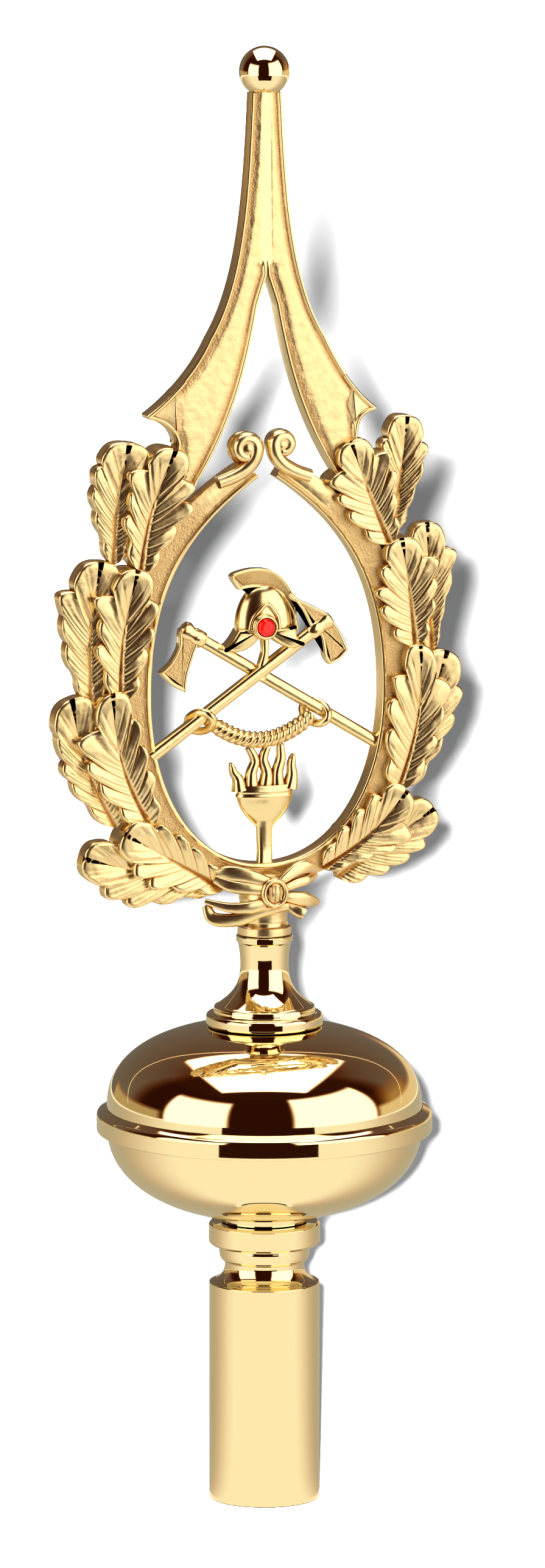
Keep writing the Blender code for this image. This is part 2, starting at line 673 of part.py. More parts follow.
def helmet():
    """Helmet with comb, brim, rosette and the curved stem that holds it on the hafts."""
    z = OVAL_WAIST + HELMET_RISE
    dome = turned(
        [
            (0, z - 3.5 * DRAWN),
            (0.93 * HELMET_RADIUS, z - 3.0 * DRAWN),
            (HELMET_RADIUS, z - 1.5 * DRAWN),
            (0.98 * HELMET_RADIUS, z + 2.5 * DRAWN),
            (0.86 * HELMET_RADIUS, z + 0.50 * HELMET_HEIGHT),
            (0.58 * HELMET_RADIUS, z + 0.82 * HELMET_HEIGHT),
            (0, z + 0.98 * HELMET_HEIGHT),
        ],
        segments=16,
        depth_share=HELMET_DEPTH / HELMET_RADIUS,
    )
    crest = (
        (-9.5, 12.5),
        (-11.5, 16.6),
        (-8.5, 18.2),
        (-3.5, 19),
        (1.5, 18.2),
        (5.5, 15),
        (8.5, 10.5),
        (11, 5),
        (10.5, -3),
        (6, 4),
        (0, 10),
    )
    brim = (
        (-9.5, 2),
        (-11.5, -3),
        (-15, -7),
        (-9.5, -8),
        (-3.5, -5.5),
        (0, -2.4),
        (4.5, -5),
        (10, -7),
        (12, -6.4),
        (9.8, -1),
        (9.5, 2),
    )
    stem = ((-2.2, -2), (-3.0, -8), (-4.6, -17), (0.4, -17), (0.6, -8), (1.6, -2))
    rosette = turned(
        [
            (0, -ROSETTE_DEPTH),
            (STONE_RADIUS + GAP, -ROSETTE_DEPTH),
            (ROSETTE_RADIUS, 0.8 * DRAWN - ROSETTE_DEPTH),
            (ROSETTE_RADIUS, 0),
            (0, 0),
        ],
        segments=16,
    )
    place_on_front(rosette)
    return [
        dome,
        slab(local(crest, 0, z), CREST_DEPTH),
        slab(local(brim, 0, z), 0.6 * HELMET_DEPTH),
        slab(local(stem, 0, z), 1.3 * DRAWN),
        rosette,
    ]


def place_on_front(bm):
    """Lays a piece turned about Z so that its low end faces the front at the helmet's rosette."""
    bmesh.ops.rotate(bm, verts=bm.verts, matrix=LIE_BACK)
    bmesh.ops.scale(bm, verts=bm.verts, vec=(1, -1, 1))
    x, z = STONE_CENTRE
    bmesh.ops.translate(bm, verts=bm.verts, vec=(x, 0, OVAL_WAIST + z))


def stone_profile(radius, low, high):
    """Half profile of a round cut stone."""
    return [(0, low), (0.55 * radius, low), (radius, low + 0.45 * (high - low)), (0.9 * radius, high), (0, high)]


def torch():
    """Torch: stem, cup and five flames."""
    base, lip = OVAL_WAIST + TORCH_BASE, OVAL_WAIST + TORCH_LIP
    foot = OVAL_FOOT - 1 * DRAWN
    cup = turned(
        [
            (0, base - 0.5 * DRAWN),
            (0.35 * TORCH_RADIUS, base),
            (0.72 * TORCH_RADIUS, base + 0.30 * (lip - base)),
            (0.94 * TORCH_RADIUS, base + 0.65 * (lip - base)),
            (TORCH_RADIUS, lip),
            (0, lip),
        ],
        segments=16,
        depth_share=TORCH_DEPTH / TORCH_RADIUS,
    )
    stem = bar((0, foot), (0, base + 1.5 * DRAWN), TORCH_STEM_HALF, 0.45 * TORCH_DEPTH, 0)
    made = [cup, stem]
    span = 2 * TORCH_RADIUS - 3.4 * DRAWN
    for i in range(5):
        x = (i / 4 - 0.5) * span
        outer = i in (0, 4)
        top = OVAL_WAIST + FLAME_TOP - (6.5 * DRAWN if outer else 0)
        lean = (i - 2) * 0.9 * DRAWN
        points, sections = [], []
        for k in range(5):
            share = k / 4
            wave = 0.6 * DRAWN * math.sin(math.tau * share)
            points.append(Vector((x + lean * share + wave, 0, lip - 2.5 * DRAWN + (top - lip + 2.5 * DRAWN) * share)))
            half = (1.75 - (1.1 if outer else 0.55) * share) * DRAWN
            sections.append([(half, -half, 0), (half, half, 0), (-half, half, 0), (-half, -half, 0)])
        made.append(swept(points, sections))
    return made


def cut(obj, bm, operation="DIFFERENCE"):
    """Takes a shape away from an object, or keeps only what lies inside the shape."""
    modifier = obj.modifiers.new("cut", "BOOLEAN")
    modifier.operation = operation
    modifier.solver = "MANIFOLD"
    modifier.object = link(f"{obj.name}_cutter_{len(obj.modifiers)}", bm)


def joined(name, pieces, paint, cutter, first_cutters=()):
    """One solid from overlapping pieces, less a cutter; first_cutters only cut the first piece."""
    first, *others = pieces
    obj = link(name, first, paint)
    for bm in first_cutters:
        cut(obj, bm)
    helpers = bpy.data.collections.new(f"{name}_pieces")
    bpy.context.scene.collection.children.link(helpers)
    for index, bm in enumerate(others):
        helper = link(f"{name}_piece_{index + 1}", bm)
        bpy.context.scene.collection.objects.unlink(helper)
        helpers.objects.link(helper)
    union = obj.modifiers.new("pieces", "BOOLEAN")
    union.operation = "UNION"
    union.solver = "MANIFOLD"
    union.operand_type = "COLLECTION"
    union.collection = helpers
    cut(obj, cutter)
    return obj


def pole_socket(paint):
    """Tube, groove and collar, open below to take the pole."""
    bore = SOCKET_RADIUS - SOCKET_WALL
    bore_end = SOCKET_LENGTH - SOCKET_END_WALL
    shoulder = (SOCKET_RADIUS, SOCKET_LENGTH)
    neck = (GROOVE_RADIUS, SOCKET_LENGTH + GROOVE_FLARE)
    profile = [(0, bore_end), (bore, bore_end), (bore, 0), (SOCKET_RADIUS, 0)]
    profile += quarter(shoulder, (GROOVE_RADIUS, SOCKET_LENGTH), neck, 5)
    profile += [
        (GROOVE_CONE_RADIUS, COLLAR_BASE),
        (COLLAR_RADIUS, COLLAR_BASE),
        (COLLAR_RADIUS, COLLAR_TOP - COLLAR_CHAMFER),
        (COLLAR_RADIUS - COLLAR_CHAMFER, COLLAR_TOP),
        (0, COLLAR_TOP),
    ]
    return link("pole_socket", turned(profile), paint)


def ball_lower_half(paint):
    """Bowl with its seat and the belt."""
    profile = [(0, BOWL_BASE), (BOWL_SEAT_RADIUS, BOWL_BASE)]
    depth = BELT_BASE + BELT_HEIGHT / 4 - BOWL_BASE - BOWL_SEAT_HEIGHT
    middle = BOWL_BASE + BOWL_SEAT_HEIGHT + depth
    first = math.asin((BOWL_SEAT_RADIUS / BALL_RADIUS) ** (BOWL_FULLNESS / 2))
    for i in range(BALL_STEPS + 1):
        turn = first + (math.pi / 2 - first) * i / BALL_STEPS
        radius = BALL_RADIUS * math.sin(turn) ** (2 / BOWL_FULLNESS)
        height = middle - depth * math.cos(turn) ** (2 / BOWL_FULLNESS)
        profile.append((radius, min(height, BELT_BASE)))
    parting = BELT_TOP + BELT_BEVEL
    profile += [(BELT_RADIUS, BELT_BASE), (BELT_RADIUS, BELT_TOP), (BALL_RADIUS, parting), (0, parting)]
    return link("ball_lower_half", turned(profile), paint)


def ball_upper_half(paint):
    """Dome over the belt."""
    profile = [(0, DOME_BASE)]
    for i in range(BALL_STEPS + 1):
        turn = math.pi / 2 * (1 - i / BALL_STEPS)
        radius = BALL_RADIUS * math.sin(turn) ** (2 / DOME_FULLNESS)
        profile.append((radius, dome_height(radius)))
    return link("ball_upper_half", turned(profile), paint)


def spindle(paint):
    """Flange shaped to the dome, step, trumpet, waist and top ring."""
    profile = [(radius, dome_height(radius) + GAP) for radius in (0, 0.6 * FLANGE_RADIUS, FLANGE_RADIUS)]
    step = (STEP_RADIUS, FLANGE_BASE + FLANGE_HEIGHT)
    profile += quarter((FLANGE_RADIUS, FLANGE_BASE + 0.8 * DRAWN), (FLANGE_RADIUS, step[1]), step, 2)
    profile += [(STEP_RADIUS, TRUMPET_BASE - 0.5 * DRAWN)]
    profile += bezier(
        (
            (TRUMPET_RADIUS, TRUMPET_BASE),
            (0.62 * TRUMPET_RADIUS, TRUMPET_BASE + 0.30 * TRUMPET_HEIGHT),
            (WAIST_RADIUS, TRUMPET_BASE + 0.50 * TRUMPET_HEIGHT),
            (WAIST_RADIUS, WAIST_HEIGHT),
        ),
        5,
    )
    profile += [(NECK_RADIUS, RING_BASE), (RING_RADIUS, RING_BASE + 0.3 * DRAWN), (RING_RADIUS, SPINDLE_TOP)]
    profile.append((0, SPINDLE_TOP))
    return link("spindle", turned(profile, segments=24), paint)


def wreath_head(paint):
    """The casting: oval band, volutes, gable, leaves, foot and bow."""
    body, front_panel, back_panel = gable()
    pieces = [body, band(), head_foot(), *bow(), *volute(-1), *volute(1)]
    for side, twigs in ((-1, LEFT_TWIGS), (1, RIGHT_TWIGS)):
        for share, front_lean, front_length, back_lean, back_length in twigs:
            base = on_leaf_line(share, side)
            outer = base + Vector((side * BACK_LEAF_SHIFT, 0))
            pieces.append(leaf(outer, back_lean, back_length, BACK_HALF_WIDTH, BACK_LEAF, side))
            pieces.append(leaf(base, front_lean, front_length, FRONT_HALF_WIDTH, FRONT_LEAF, side))
    opening = slab(oval(), 3 * BAND_DEPTH)
    return joined("wreath_head", pieces, paint, opening, (front_panel, back_panel))


def emblem(paint):
    """The soldered-in casting: axes, rope, helmet and torch, with a seat for the stone."""
    radius, mouth, floor = STONE_RADIUS + GAP, -ROSETTE_DEPTH - SEAT_DEPTH, SEAT_DEPTH - ROSETTE_DEPTH
    seat = turned([(0, mouth), (radius, mouth), (radius, floor), (0, floor)], segments=16)
    place_on_front(seat)
    pieces = [*axes(), *rope(), *helmet(), *torch()]
    obj = joined("emblem", pieces, paint, seat)
    cut(obj, slab(oval(GAP), 3 * BAND_DEPTH), "INTERSECT")
    return obj


def red_stone(paint):
    """Round cut glass in the rosette."""
    back = SEAT_DEPTH - ROSETTE_DEPTH - GAP
    bm = turned(stone_profile(STONE_RADIUS, back - STONE_HEIGHT, back), segments=12)
    place_on_front(bm)
    return link("red_stone", bm, paint)


def top_ball(paint):
    """The turned ball on the spike, with a flat where it is soldered."""
    profile = [(0, SPIKE_TOP + GAP)]
    first = -math.acos(SPIKE_TOP_HALF / TOP_BALL_RADIUS)
    for i in range(BALL_STEPS + 1):
        turn = first + (math.pi / 2 - first) * i / BALL_STEPS
        radius = TOP_BALL_RADIUS * max(math.cos(turn), 0.0)
        profile.append((radius, TOP_BALL_CENTRE + TOP_BALL_RADIUS * math.sin(turn)))
    return link("top_ball", turned(profile, segments=16), paint)


def main():
    for obj in list(bpy.data.objects):
        bpy.data.objects.remove(obj)
    polished = material("polished_brass", (0.89, 0.66, 0.24), 0.10, 1.0)
    cast = material("cast_brass", (0.86, 0.62, 0.24), 0.30, 1.0)
    glass = material("red_glass", (0.45, 0.01, 0.0), 0.05, 0.0)
    pole_socket(polished)
    ball_lower_half(polished)
    ball_upper_half(polished)
    spindle(polished)
    wreath_head(cast)
    emblem(cast)
    red_stone(glass)
    top_ball(polished)


main()
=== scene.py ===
"""Flagpole finial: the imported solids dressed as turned, spun and cast brass, in a plain studio.

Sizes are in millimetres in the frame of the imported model: +Z up the pole, the front of the wreath towards -Y.
"""

import logging
import math
from dataclasses import dataclass
from enum import Enum

import bpy
import numpy as np
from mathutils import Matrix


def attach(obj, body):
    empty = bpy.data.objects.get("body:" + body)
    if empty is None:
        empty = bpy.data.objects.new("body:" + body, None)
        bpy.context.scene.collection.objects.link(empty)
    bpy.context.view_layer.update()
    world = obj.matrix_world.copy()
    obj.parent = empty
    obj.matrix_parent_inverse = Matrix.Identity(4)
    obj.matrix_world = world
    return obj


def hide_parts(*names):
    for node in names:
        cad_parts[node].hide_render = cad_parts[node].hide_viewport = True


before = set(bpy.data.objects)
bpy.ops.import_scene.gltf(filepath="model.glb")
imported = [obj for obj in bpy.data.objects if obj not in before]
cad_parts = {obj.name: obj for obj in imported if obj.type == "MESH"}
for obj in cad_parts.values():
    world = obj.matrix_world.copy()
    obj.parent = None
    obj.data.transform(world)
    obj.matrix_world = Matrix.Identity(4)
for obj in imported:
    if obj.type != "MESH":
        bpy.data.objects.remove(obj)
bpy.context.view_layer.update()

MM = 0.001
TAU = math.tau
WELD_REACH = 0.002
OUTLINE_STEP = 0.4
SHRINK_STEP = 0.15
SMOOTH_SHARE = 0.04
GROUND_DARKENING = 0.32
log = logging.getLogger("finial")

Point = tuple[float, float]
Node = bpy.types.Node
Object = bpy.types.Object
Material = bpy.types.Material


class Side(Enum):
    """Half of the wreath, as seen from the front."""

    LEFT = -1
    RIGHT = 1


class Layer(Enum):
    """How far forward a leaf lies."""

    FRONT = "front"
    BACK = "back"


# Colours and nodes


def linear(code: str) -> tuple[float, float, float, float]:
    """Turns an sRGB hex colour into linear light.

    Args:
        code: Six hex digits, with or without a leading #.

    Returns:
        Red, green, blue and an alpha of one.
    """
    code = code.lstrip("#")
    made = []
    for start in (0, 2, 4):
        share = int(code[start : start + 2], 16) / 255
        made.append(share / 12.92 if share <= 0.04045 else ((share + 0.055) / 1.055) ** 2.4)
    return (made[0], made[1], made[2], 1.0)


def add_node(
    tree: bpy.types.NodeTree, kind: str, values: dict | None = None, links: dict | None = None, **settings
) -> Node:
    """Adds a node with its settings, plain values and incoming links.

    Args:
        tree: The node tree to add to.
        kind: Type name of the node.
        values: Input name or index to value.
        links: Input name or index to the output socket that feeds it.
        settings: Properties of the node itself.

    Returns:
        The new node.
    """
    node = tree.nodes.new(kind)
    for name, value in settings.items():
        setattr(node, name, value)
    for name, value in (values or {}).items():
        node.inputs[name].default_value = value
    for name, socket in (links or {}).items():
        tree.links.new(socket, node.inputs[name])
    return node


def add_maths(
    tree: bpy.types.NodeTree, operation: str, links: dict, values: dict | None = None, clamp: bool = False
) -> bpy.types.NodeSocket:
    """Adds a maths node.

    Args:
        tree: The node tree to add to.
        operation: What the node does.
        links: Input index to the output socket that feeds it.
        values: Input index to value.
        clamp: Whether the result is held between 0 and 1.

    Returns:
        The node's result.
    """
    node = add_node(tree, "ShaderNodeMath", values, links, operation=operation, use_clamp=clamp)
    return node.outputs[0]


# Finishes


@dataclass(frozen=True)
class Brass:
    """A brass surface: its colour, how far it is buffed, and what its casting or turning left on it."""

    name: str
    colour: str
    hollow_patina_and_shade: str
    roughness: float
    ground_roughness: float
    grain: float
    grain_height: float
    wave: float
    wave_height: float
    patina_and_shade_reach: float = 0.0

    def material(self) -> Material:
        """Builds the node material.

        Returns:
            A material that reads the piece's own "ground" attribute, 1 where the mould left its grain, and,
            where a reach is given, mixes patina and painted shade into its hollows.
        """
        made = bpy.data.materials.new(self.name)
        made.use_nodes = True
        tree = made.node_tree
        shader = tree.nodes["Principled BSDF"]
        shader.inputs["Metallic"].default_value = 1.0
        place = add_node(tree, "ShaderNodeTexCoord").outputs["Object"]
        ground = add_node(tree, "ShaderNodeAttribute", attribute_name="ground").outputs["Fac"]
        fine = {"Scale": 1000 / self.grain, "Detail": 3.0, "Roughness": 0.6}
        grain = add_node(tree, "ShaderNodeTexNoise", fine, {"Vector": place})
        broad = {"Scale": 1000 / self.wave, "Detail": 1.0}
        wave = add_node(tree, "ShaderNodeTexNoise", broad, {"Vector": place})
        rough_share = add_node(
            tree,
            "ShaderNodeMapRange",
            {"From Min": 0.35, "From Max": 0.65, "To Min": -0.25, "To Max": 0.25},
            {"Value": wave.outputs["Fac"]},
        )
        patchy = add_maths(tree, "ADD", {0: ground, 1: rough_share.outputs["Result"]}, clamp=True)
        patchy = add_maths(tree, "MULTIPLY", {0: patchy, 1: ground}, clamp=True)
        depths = {1: self.grain_height, 2: SMOOTH_SHARE * self.grain_height}
        depth = add_maths(tree, "MULTIPLY_ADD", {0: patchy}, depths)
        pits = add_maths(tree, "MULTIPLY", {0: grain.outputs["Fac"], 1: depth})
        height = add_maths(tree, "MULTIPLY_ADD", {0: wave.outputs["Fac"], 2: pits}, {1: self.wave_height})
        bump = add_node(tree, "ShaderNodeBump", {"Strength": 1.0, "Distance": MM}, {"Height": height})
        rough = add_node(
            tree,
            "ShaderNodeMapRange",
            {"From Min": 0.0, "From Max": 1.0, "To Min": self.roughness, "To Max": self.ground_roughness},
            {"Value": patchy},
        )
        tree.links.new(bump.outputs["Normal"], shader.inputs["Normal"])
        tree.links.new(rough.outputs["Result"], shader.inputs["Roughness"])
        if not self.patina_and_shade_reach:
            shader.inputs["Base Color"].default_value = linear(self.colour)
            return made
        # Painted shade and patina: ambient occlusion within the reach pulls the colour towards the darker
        # hollow tone in creases and between parts; grained grounds lean further towards it.
        reach = {"Distance": self.patina_and_shade_reach * MM}
        hollow = add_node(tree, "ShaderNodeAmbientOcclusion", reach, samples=4, only_local=True)
        open_share = add_node(
            tree, "ShaderNodeMapRange", {"From Min": 0.3, "From Max": 0.95}, {"Value": hollow.outputs["AO"]}
        )
        buffed = add_maths(tree, "MULTIPLY_ADD", {0: ground}, {1: -GROUND_DARKENING, 2: 1.0})
        open_share = add_maths(tree, "MULTIPLY", {0: open_share.outputs["Result"], 1: buffed})
        tone = add_node(
            tree,
            "ShaderNodeMix",
            {"A": linear(self.hollow_patina_and_shade), "B": linear(self.colour)},
            {"Factor": open_share},
            data_type="RGBA",
        )
        tree.links.new(tone.outputs["Result"], shader.inputs["Base Color"])
        return made


# Spun and turned brass, buffed to a mirror: only faint waves from the chuck are left.
SPUN_BRASS = Brass("spun_brass_mirror_polished", "F6E6BA", "D9A040", 0.045, 0.1, 0.4, 0.002, 9.0, 0.02)
# Sand-cast brass: high places buffed bright, grounds as the sand left them, a darker tone in the hollows that
# is partly patina and partly painted shade from ambient occlusion.
CAST_BRASS = Brass("cast_brass_buffed", "F5DEAC", "B8700C", 0.25, 0.38, 0.7, 0.24, 3.2, 0.06, 1.9)
# The emblem is cast finer and buffed nearly all over; its hollows get the same patina and painted shade over a
# shorter reach.
FINE_CAST_BRASS = Brass("fine_cast_brass_buffed", "F5DFAC", "B8700C", 0.19, 0.32, 0.6, 0.22, 2.6, 0.04, 1.0)


@dataclass(frozen=True)
class CutGlass:
    """Red glass backed with foil, so that it looks opaque and lit from inside."""

    name: str = "red_cut_glass"
    colour: str = "5E0200"

    def material(self) -> Material:
        """Builds the node material.

        Returns:
            A coated dielectric with darker streaks laid by noise: painted shade standing for facets that turn
            away from the foil.
        """
        made = bpy.data.materials.new(self.name)
        made.use_nodes = True
        tree = made.node_tree
        shader = tree.nodes["Principled BSDF"]
        shader.inputs["Roughness"].default_value = 0.12
        shader.inputs["IOR"].default_value = 1.52
        shader.inputs["Coat Weight"].default_value = 0.12
        shader.inputs["Coat Roughness"].default_value = 0.03
        place = add_node(tree, "ShaderNodeTexCoord").outputs["Object"]
        # Painted shade: noise mixes a darker red in, standing for the facets that turn away from the foil.
        facet_shade_streaks = add_node(tree, "ShaderNodeTexNoise", {"Scale": 900.0, "Detail": 2.0}, {"Vector": place})
        tone = add_node(
            tree,
            "ShaderNodeMix",
            {"A": linear("240000"), "B": linear(self.colour)},
            {"Factor": facet_shade_streaks.outputs["Fac"]},
            data_type="RGBA",
        )
        tree.links.new(tone.outputs["Result"], shader.inputs["Base Color"])
        return made


# Curves


def bezier(points: list[Point], steps: int) -> np.ndarray:
    """Points along a cubic Bezier curve.

    Args:
        points: Four control points.
        steps: Number of equal steps of the curve's own parameter.

    Returns:
        An array of steps + 1 points.
    """
    t = np.linspace(0, 1, steps + 1)[:, None]
    a, b, c, d = (np.array(p, float) for p in points)
    return (1 - t) ** 3 * a + 3 * t * (1 - t) ** 2 * b + 3 * t * t * (1 - t) * c + t**3 * d


def swept(points: list[Point], steps: int) -> list[Point]:
    """The points of a cubic Bezier curve as a list."""
    return [tuple(p) for p in bezier(points, steps)]


def quarter(start: Point, corner: Point, end: Point, steps: int) -> list[Point]:
    """A quarter round from start to end that bulges to the corner.

    Args:
        start: First point.
        corner: The corner that the round would fill.
        end: Last point.
        steps: Number of steps.

    Returns:
        The points, start and end among them.
    """
    made = []
    for turn in np.linspace(0, math.pi / 2, steps + 1):
        near, far = 1 - math.sin(turn), 1 - math.cos(turn)
        made.append(tuple(c + (a - c) * near + (b - c) * far for a, b, c in zip(start, end, corner)))
    return made


def rounded(points: list[Point], steps: int, closed: bool = True) -> list[Point]:
    """A smooth line through points; a point given twice stays a corner.

    Args:
        points: Points to pass through.
        steps: Steps between one point and the next.
        closed: Whether the line comes back to its start.

    Returns:
        The finer line.
    """
    count = len(points)
    grid = np.array(points, float)
    made = []
    for i in range(count if closed else count - 1):
        if closed:
            around = [grid[(i + k) % count] for k in (-1, 0, 1, 2)]
        else:
            around = [grid[min(max(i + k, 0), count - 1)] for k in (-1, 0, 1, 2)]
        before, start, end, after = around
        if np.allclose(start, end):
            continue
        for t in np.linspace(0, 1, steps, endpoint=False):
            pull = (end - before) * t + (2 * before - 5 * start + 4 * end - after) * t**2
            made.append(start + 0.5 * (pull + (3 * start - before - 3 * end + after) * t**3))
    if not closed:
        made.append(grid[-1])
    return [tuple(p) for p in made]


def smooth_step(low: float, high: float, value: np.ndarray | float) -> np.ndarray:
    """Eases from 0 at low to 1 at high.

    Args:
        low: Where the step starts.
        high: Where it ends; it may be below low.
        value: What is measured against them.

    Returns:
        The eased share.
    """
    share = np.clip((value - low) / (high - low), 0, 1)
    return share * share * (3 - 2 * share)


def supported(profile: list[Point], long: float = 1.5, near: float = 0.12) -> list[Point]:
    """Adds points close to both ends of long straight runs, so that shading stays flat along them.

    Args:
        profile: Radius and height of each point.
        long: Runs above this length are held.
        near: Distance of the added points from the ends.

    Returns:
        The profile with the added points.
    """
    made = [profile[0]]
    for start, end in zip(profile, profile[1:]):
        length = math.dist(start, end)
        if length > long:
            for share in (near / length, 1 - near / length):
                made.append(tuple(a + (b - a) * share for a, b in zip(start, end)))
        made.append(end)
    return made


def evenly(outline: list[Point], step: float) -> np.ndarray:
    """Sets points at equal distances along a closed line, counter-clockwise.

    Args:
        outline: Points of the line.
        step: Distance between the new points.

    Returns:
        The new points.
    """
    line = np.array(outline, float)
    after = np.roll(line, -1, 0)
    if np.sum(line[:, 0] * after[:, 1] - after[:, 0] * line[:, 1]) < 0:
        line = line[::-1]
    line = np.vstack([line, line[:1]])
    run = np.concatenate([[0], np.cumsum(np.linalg.norm(np.diff(line, axis=0), axis=1))])
    marks = np.linspace(0, run[-1], max(8, round(run[-1] / step)), endpoint=False)
    return np.stack([np.interp(marks, run, line[:, 0]), np.interp(marks, run, line[:, 1])], 1)


def shrunk(line: np.ndarray, inset: float) -> np.ndarray:
    """Moves a counter-clockwise closed line inwards in small steps, easing its corners.

    Args:
        line: The line's points.
        inset: How far to move it.

    Returns:
        The moved points.
    """
    steps = max(1, math.ceil(abs(inset) / SHRINK_STEP))
    for _ in range(steps if inset else 0):
        before, after = np.roll(line, 1, 0), np.roll(line, -1, 0)
        along = after - before
        along /= np.maximum(np.linalg.norm(along, axis=1), 1e-6)[:, None]
        line = line + np.stack([-along[:, 1], along[:, 0]], 1) * inset / steps
        line = 0.84 * line + 0.08 * (np.roll(line, 1, 0) + np.roll(line, -1, 0))
    return line


def edged(
    front: float, back: float, soft: float, rim: float = 0.0, drop: float = 0.0
) -> list[tuple[float, float, float]]:
    """Rings of a plate with rounded edges and, if wanted, a rim round a grained field.

    Args:
        front: The y of the front, or of the rim.
        back: The y of the back.
        soft: Radius of the edges.
        rim: Width of the rim.
        drop: How far the field lies behind the rim.

    Returns:
        Inset, y and grain of each ring.
    """
    rings = [(soft, back, 0.0), (0.3 * soft, back - 0.3 * soft, 0.0), (0.0, back - soft, 0.0)]
    rings += [(0.0, front + soft, 0.0), (0.12 * soft, front + 0.5 * soft, 0.0)]
    rings += [(0.45 * soft, front + 0.14 * soft, 0.0), (soft, front, 0.0)]
    if rim:
        rings += [(rim - 0.1, front + 0.05, 0.0), (rim + 0.08, front + 0.5 * drop, 0.3)]
        rings += [(rim + 0.3, front + drop, 1.0)]
    return rings


# Modelling


class Bench:
    """The operator steps that the pieces are made with."""

    @staticmethod
    def pick(obj: Object) -> None:
        """Makes one object the only one selected, and the active one."""
        bpy.ops.object.select_all(action="DESELECT")
        obj.select_set(True)
        bpy.context.view_layer.objects.active = obj

    @staticmethod
    def edit(obj: Object) -> None:
        """Enters edit mode on one object with all of it selected."""
        Bench.pick(obj)
        bpy.ops.object.mode_set(mode="EDIT")
        bpy.ops.mesh.select_all(action="SELECT")

    @staticmethod
    def made(name: str) -> Object:
        """The object that was just added, under its name."""
        obj = bpy.context.active_object
        obj.name = obj.data.name = name
        return obj

    @staticmethod
    def leave() -> None:
        """Goes back to object mode."""
        bpy.ops.object.mode_set(mode="OBJECT")

    @staticmethod
    def weld(obj: Object, reach: float = WELD_REACH) -> None:
        """Merges points that meet and turns the faces outwards.

        Args:
            obj: The object to close.
            reach: How near two points have to be, in millimetres.
        """
        Bench.edit(obj)
        bpy.ops.mesh.remove_doubles(threshold=reach * MM)
        bpy.ops.mesh.normals_make_consistent(inside=False)
        Bench.leave()

    @staticmethod
    def apply(obj: Object, kind: str, **settings) -> None:
        """Adds a modifier and applies it.

        Args:
            obj: The object to modify.
            kind: Type name of the modifier.
            settings: Its properties.
        """
        Bench.pick(obj)
        modifier = obj.modifiers.new(kind.lower(), kind)
        for name, value in settings.items():
            setattr(modifier, name, value)
        bpy.ops.object.modifier_apply(modifier=modifier.name)

    @staticmethod
    def soften(obj: Object, width: float, segments: int = 3, angle: float = 28.0) -> None:
        """Rounds the edges that are sharper than an angle.

        Args:
            obj: The object to round.
            width: Width of the round in millimetres.
            segments: Faces across it.
            angle: Smallest angle that counts, in degrees.
        """
        Bench.apply(
            obj, "BEVEL", width=width * MM, segments=segments, limit_method="ANGLE",
            angle_limit=math.radians(angle), use_clamp_overlap=True
        )

    @staticmethod
    def turned(name: str, profile: list[Point], segments: int = 192) -> Object:
        """Turns a half profile round the axis, as on a lathe.

        Args:
            name: Name of the piece.
            profile: Radius and height, from one place on the axis to another.
            segments: Faces round the piece.

        Returns:
            The closed piece.
        """
        bpy.ops.object.select_all(action="DESELECT")
        bpy.ops.mesh.primitive_plane_add(size=MM)
        obj = Bench.made(name)
        Bench.edit(obj)
        bpy.ops.mesh.merge(type="CENTER")
        last = (0.0, 0.0)
        for index, (radius, height) in enumerate(supported(profile)):
            move = ((radius - last[0]) * MM, 0, (height - last[1]) * MM)
            if index:
                bpy.ops.mesh.extrude_region_move(TRANSFORM_OT_translate={"value": move})
            else:
                bpy.ops.transform.translate(value=move)
            last = (radius, height)
        bpy.ops.mesh.select_all(action="SELECT")
        bpy.ops.mesh.spin(steps=segments, angle=TAU, center=(0, 0, 0), axis=(0, 0, 1), use_auto_merge=True)
        Bench.leave()
        Bench.weld(obj)
        return obj

    @staticmethod
    def sheet(
        name: str, rows: np.ndarray, ground: np.ndarray | None = None, layer_name: str = "ground"
    ) -> Object:
        """A grid primitive whose points are set out row by row.

        Args:
            name: Name of the piece.
            rows: Array of rows, columns and x, y, z in millimetres.
            ground: Share of mould grain at each point.
            layer_name: Name of the attribute that keeps the shares.

        Returns:
            The open sheet.
        """
        count, width, _ = rows.shape
        bpy.ops.object.select_all(action="DESELECT")
        bpy.ops.mesh.primitive_grid_add(x_subdivisions=width - 1, y_subdivisions=count - 1, size=1)
        obj = Bench.made(name)
        obj.data.vertices.foreach_set("co", (rows * MM).ravel())
        if ground is not None:
            layer = obj.data.attributes.new(layer_name, "FLOAT", "POINT")
            layer.data.foreach_set("value", np.ascontiguousarray(ground, np.float32).ravel())
        obj.data.update()
        return obj

    @staticmethod
    def relief(name: str, rows: np.ndarray, back: np.ndarray, ground: np.ndarray | None = None) -> Object:
        """A closed plate: a modelled front, side walls, and a back at given depths.

        Args:
            name: Name of the piece.
            rows: The front, as for a sheet.
            back: The y of the back under each point, in millimetres.
            ground: Share of mould grain at each point of the front.

        Returns:
            The closed plate.
        """
        obj = Bench.sheet(name, rows, ground)
        layer = obj.data.attributes.new("back", "FLOAT", "POINT")
        layer.data.foreach_set("value", np.ascontiguousarray(back * MM, np.float32).ravel())
        Bench.edit(obj)
        bpy.ops.mesh.remove_doubles(threshold=WELD_REACH * MM)
        bpy.ops.mesh.select_all(action="SELECT")
        bpy.ops.mesh.extrude_region_move(TRANSFORM_OT_translate={"value": (0, MM, 0)})
        Bench.leave()
        mesh = obj.data
        places = np.empty(len(mesh.vertices) * 3)
        mesh.vertices.foreach_get("co", places)
        places = places.reshape(-1, 3)
        behind = np.empty(len(mesh.vertices), np.float32)
        mesh.attributes["back"].data.foreach_get("value", behind)
        moved = len(places) // 2
        places[moved:, 1] = behind[moved:]
        mesh.vertices.foreach_set("co", places.ravel())
        mesh.attributes.remove(mesh.attributes["back"])
        mesh.update()
        Bench.edit(obj)
        bpy.ops.mesh.normals_make_consistent(inside=False)
        Bench.leave()
        return obj

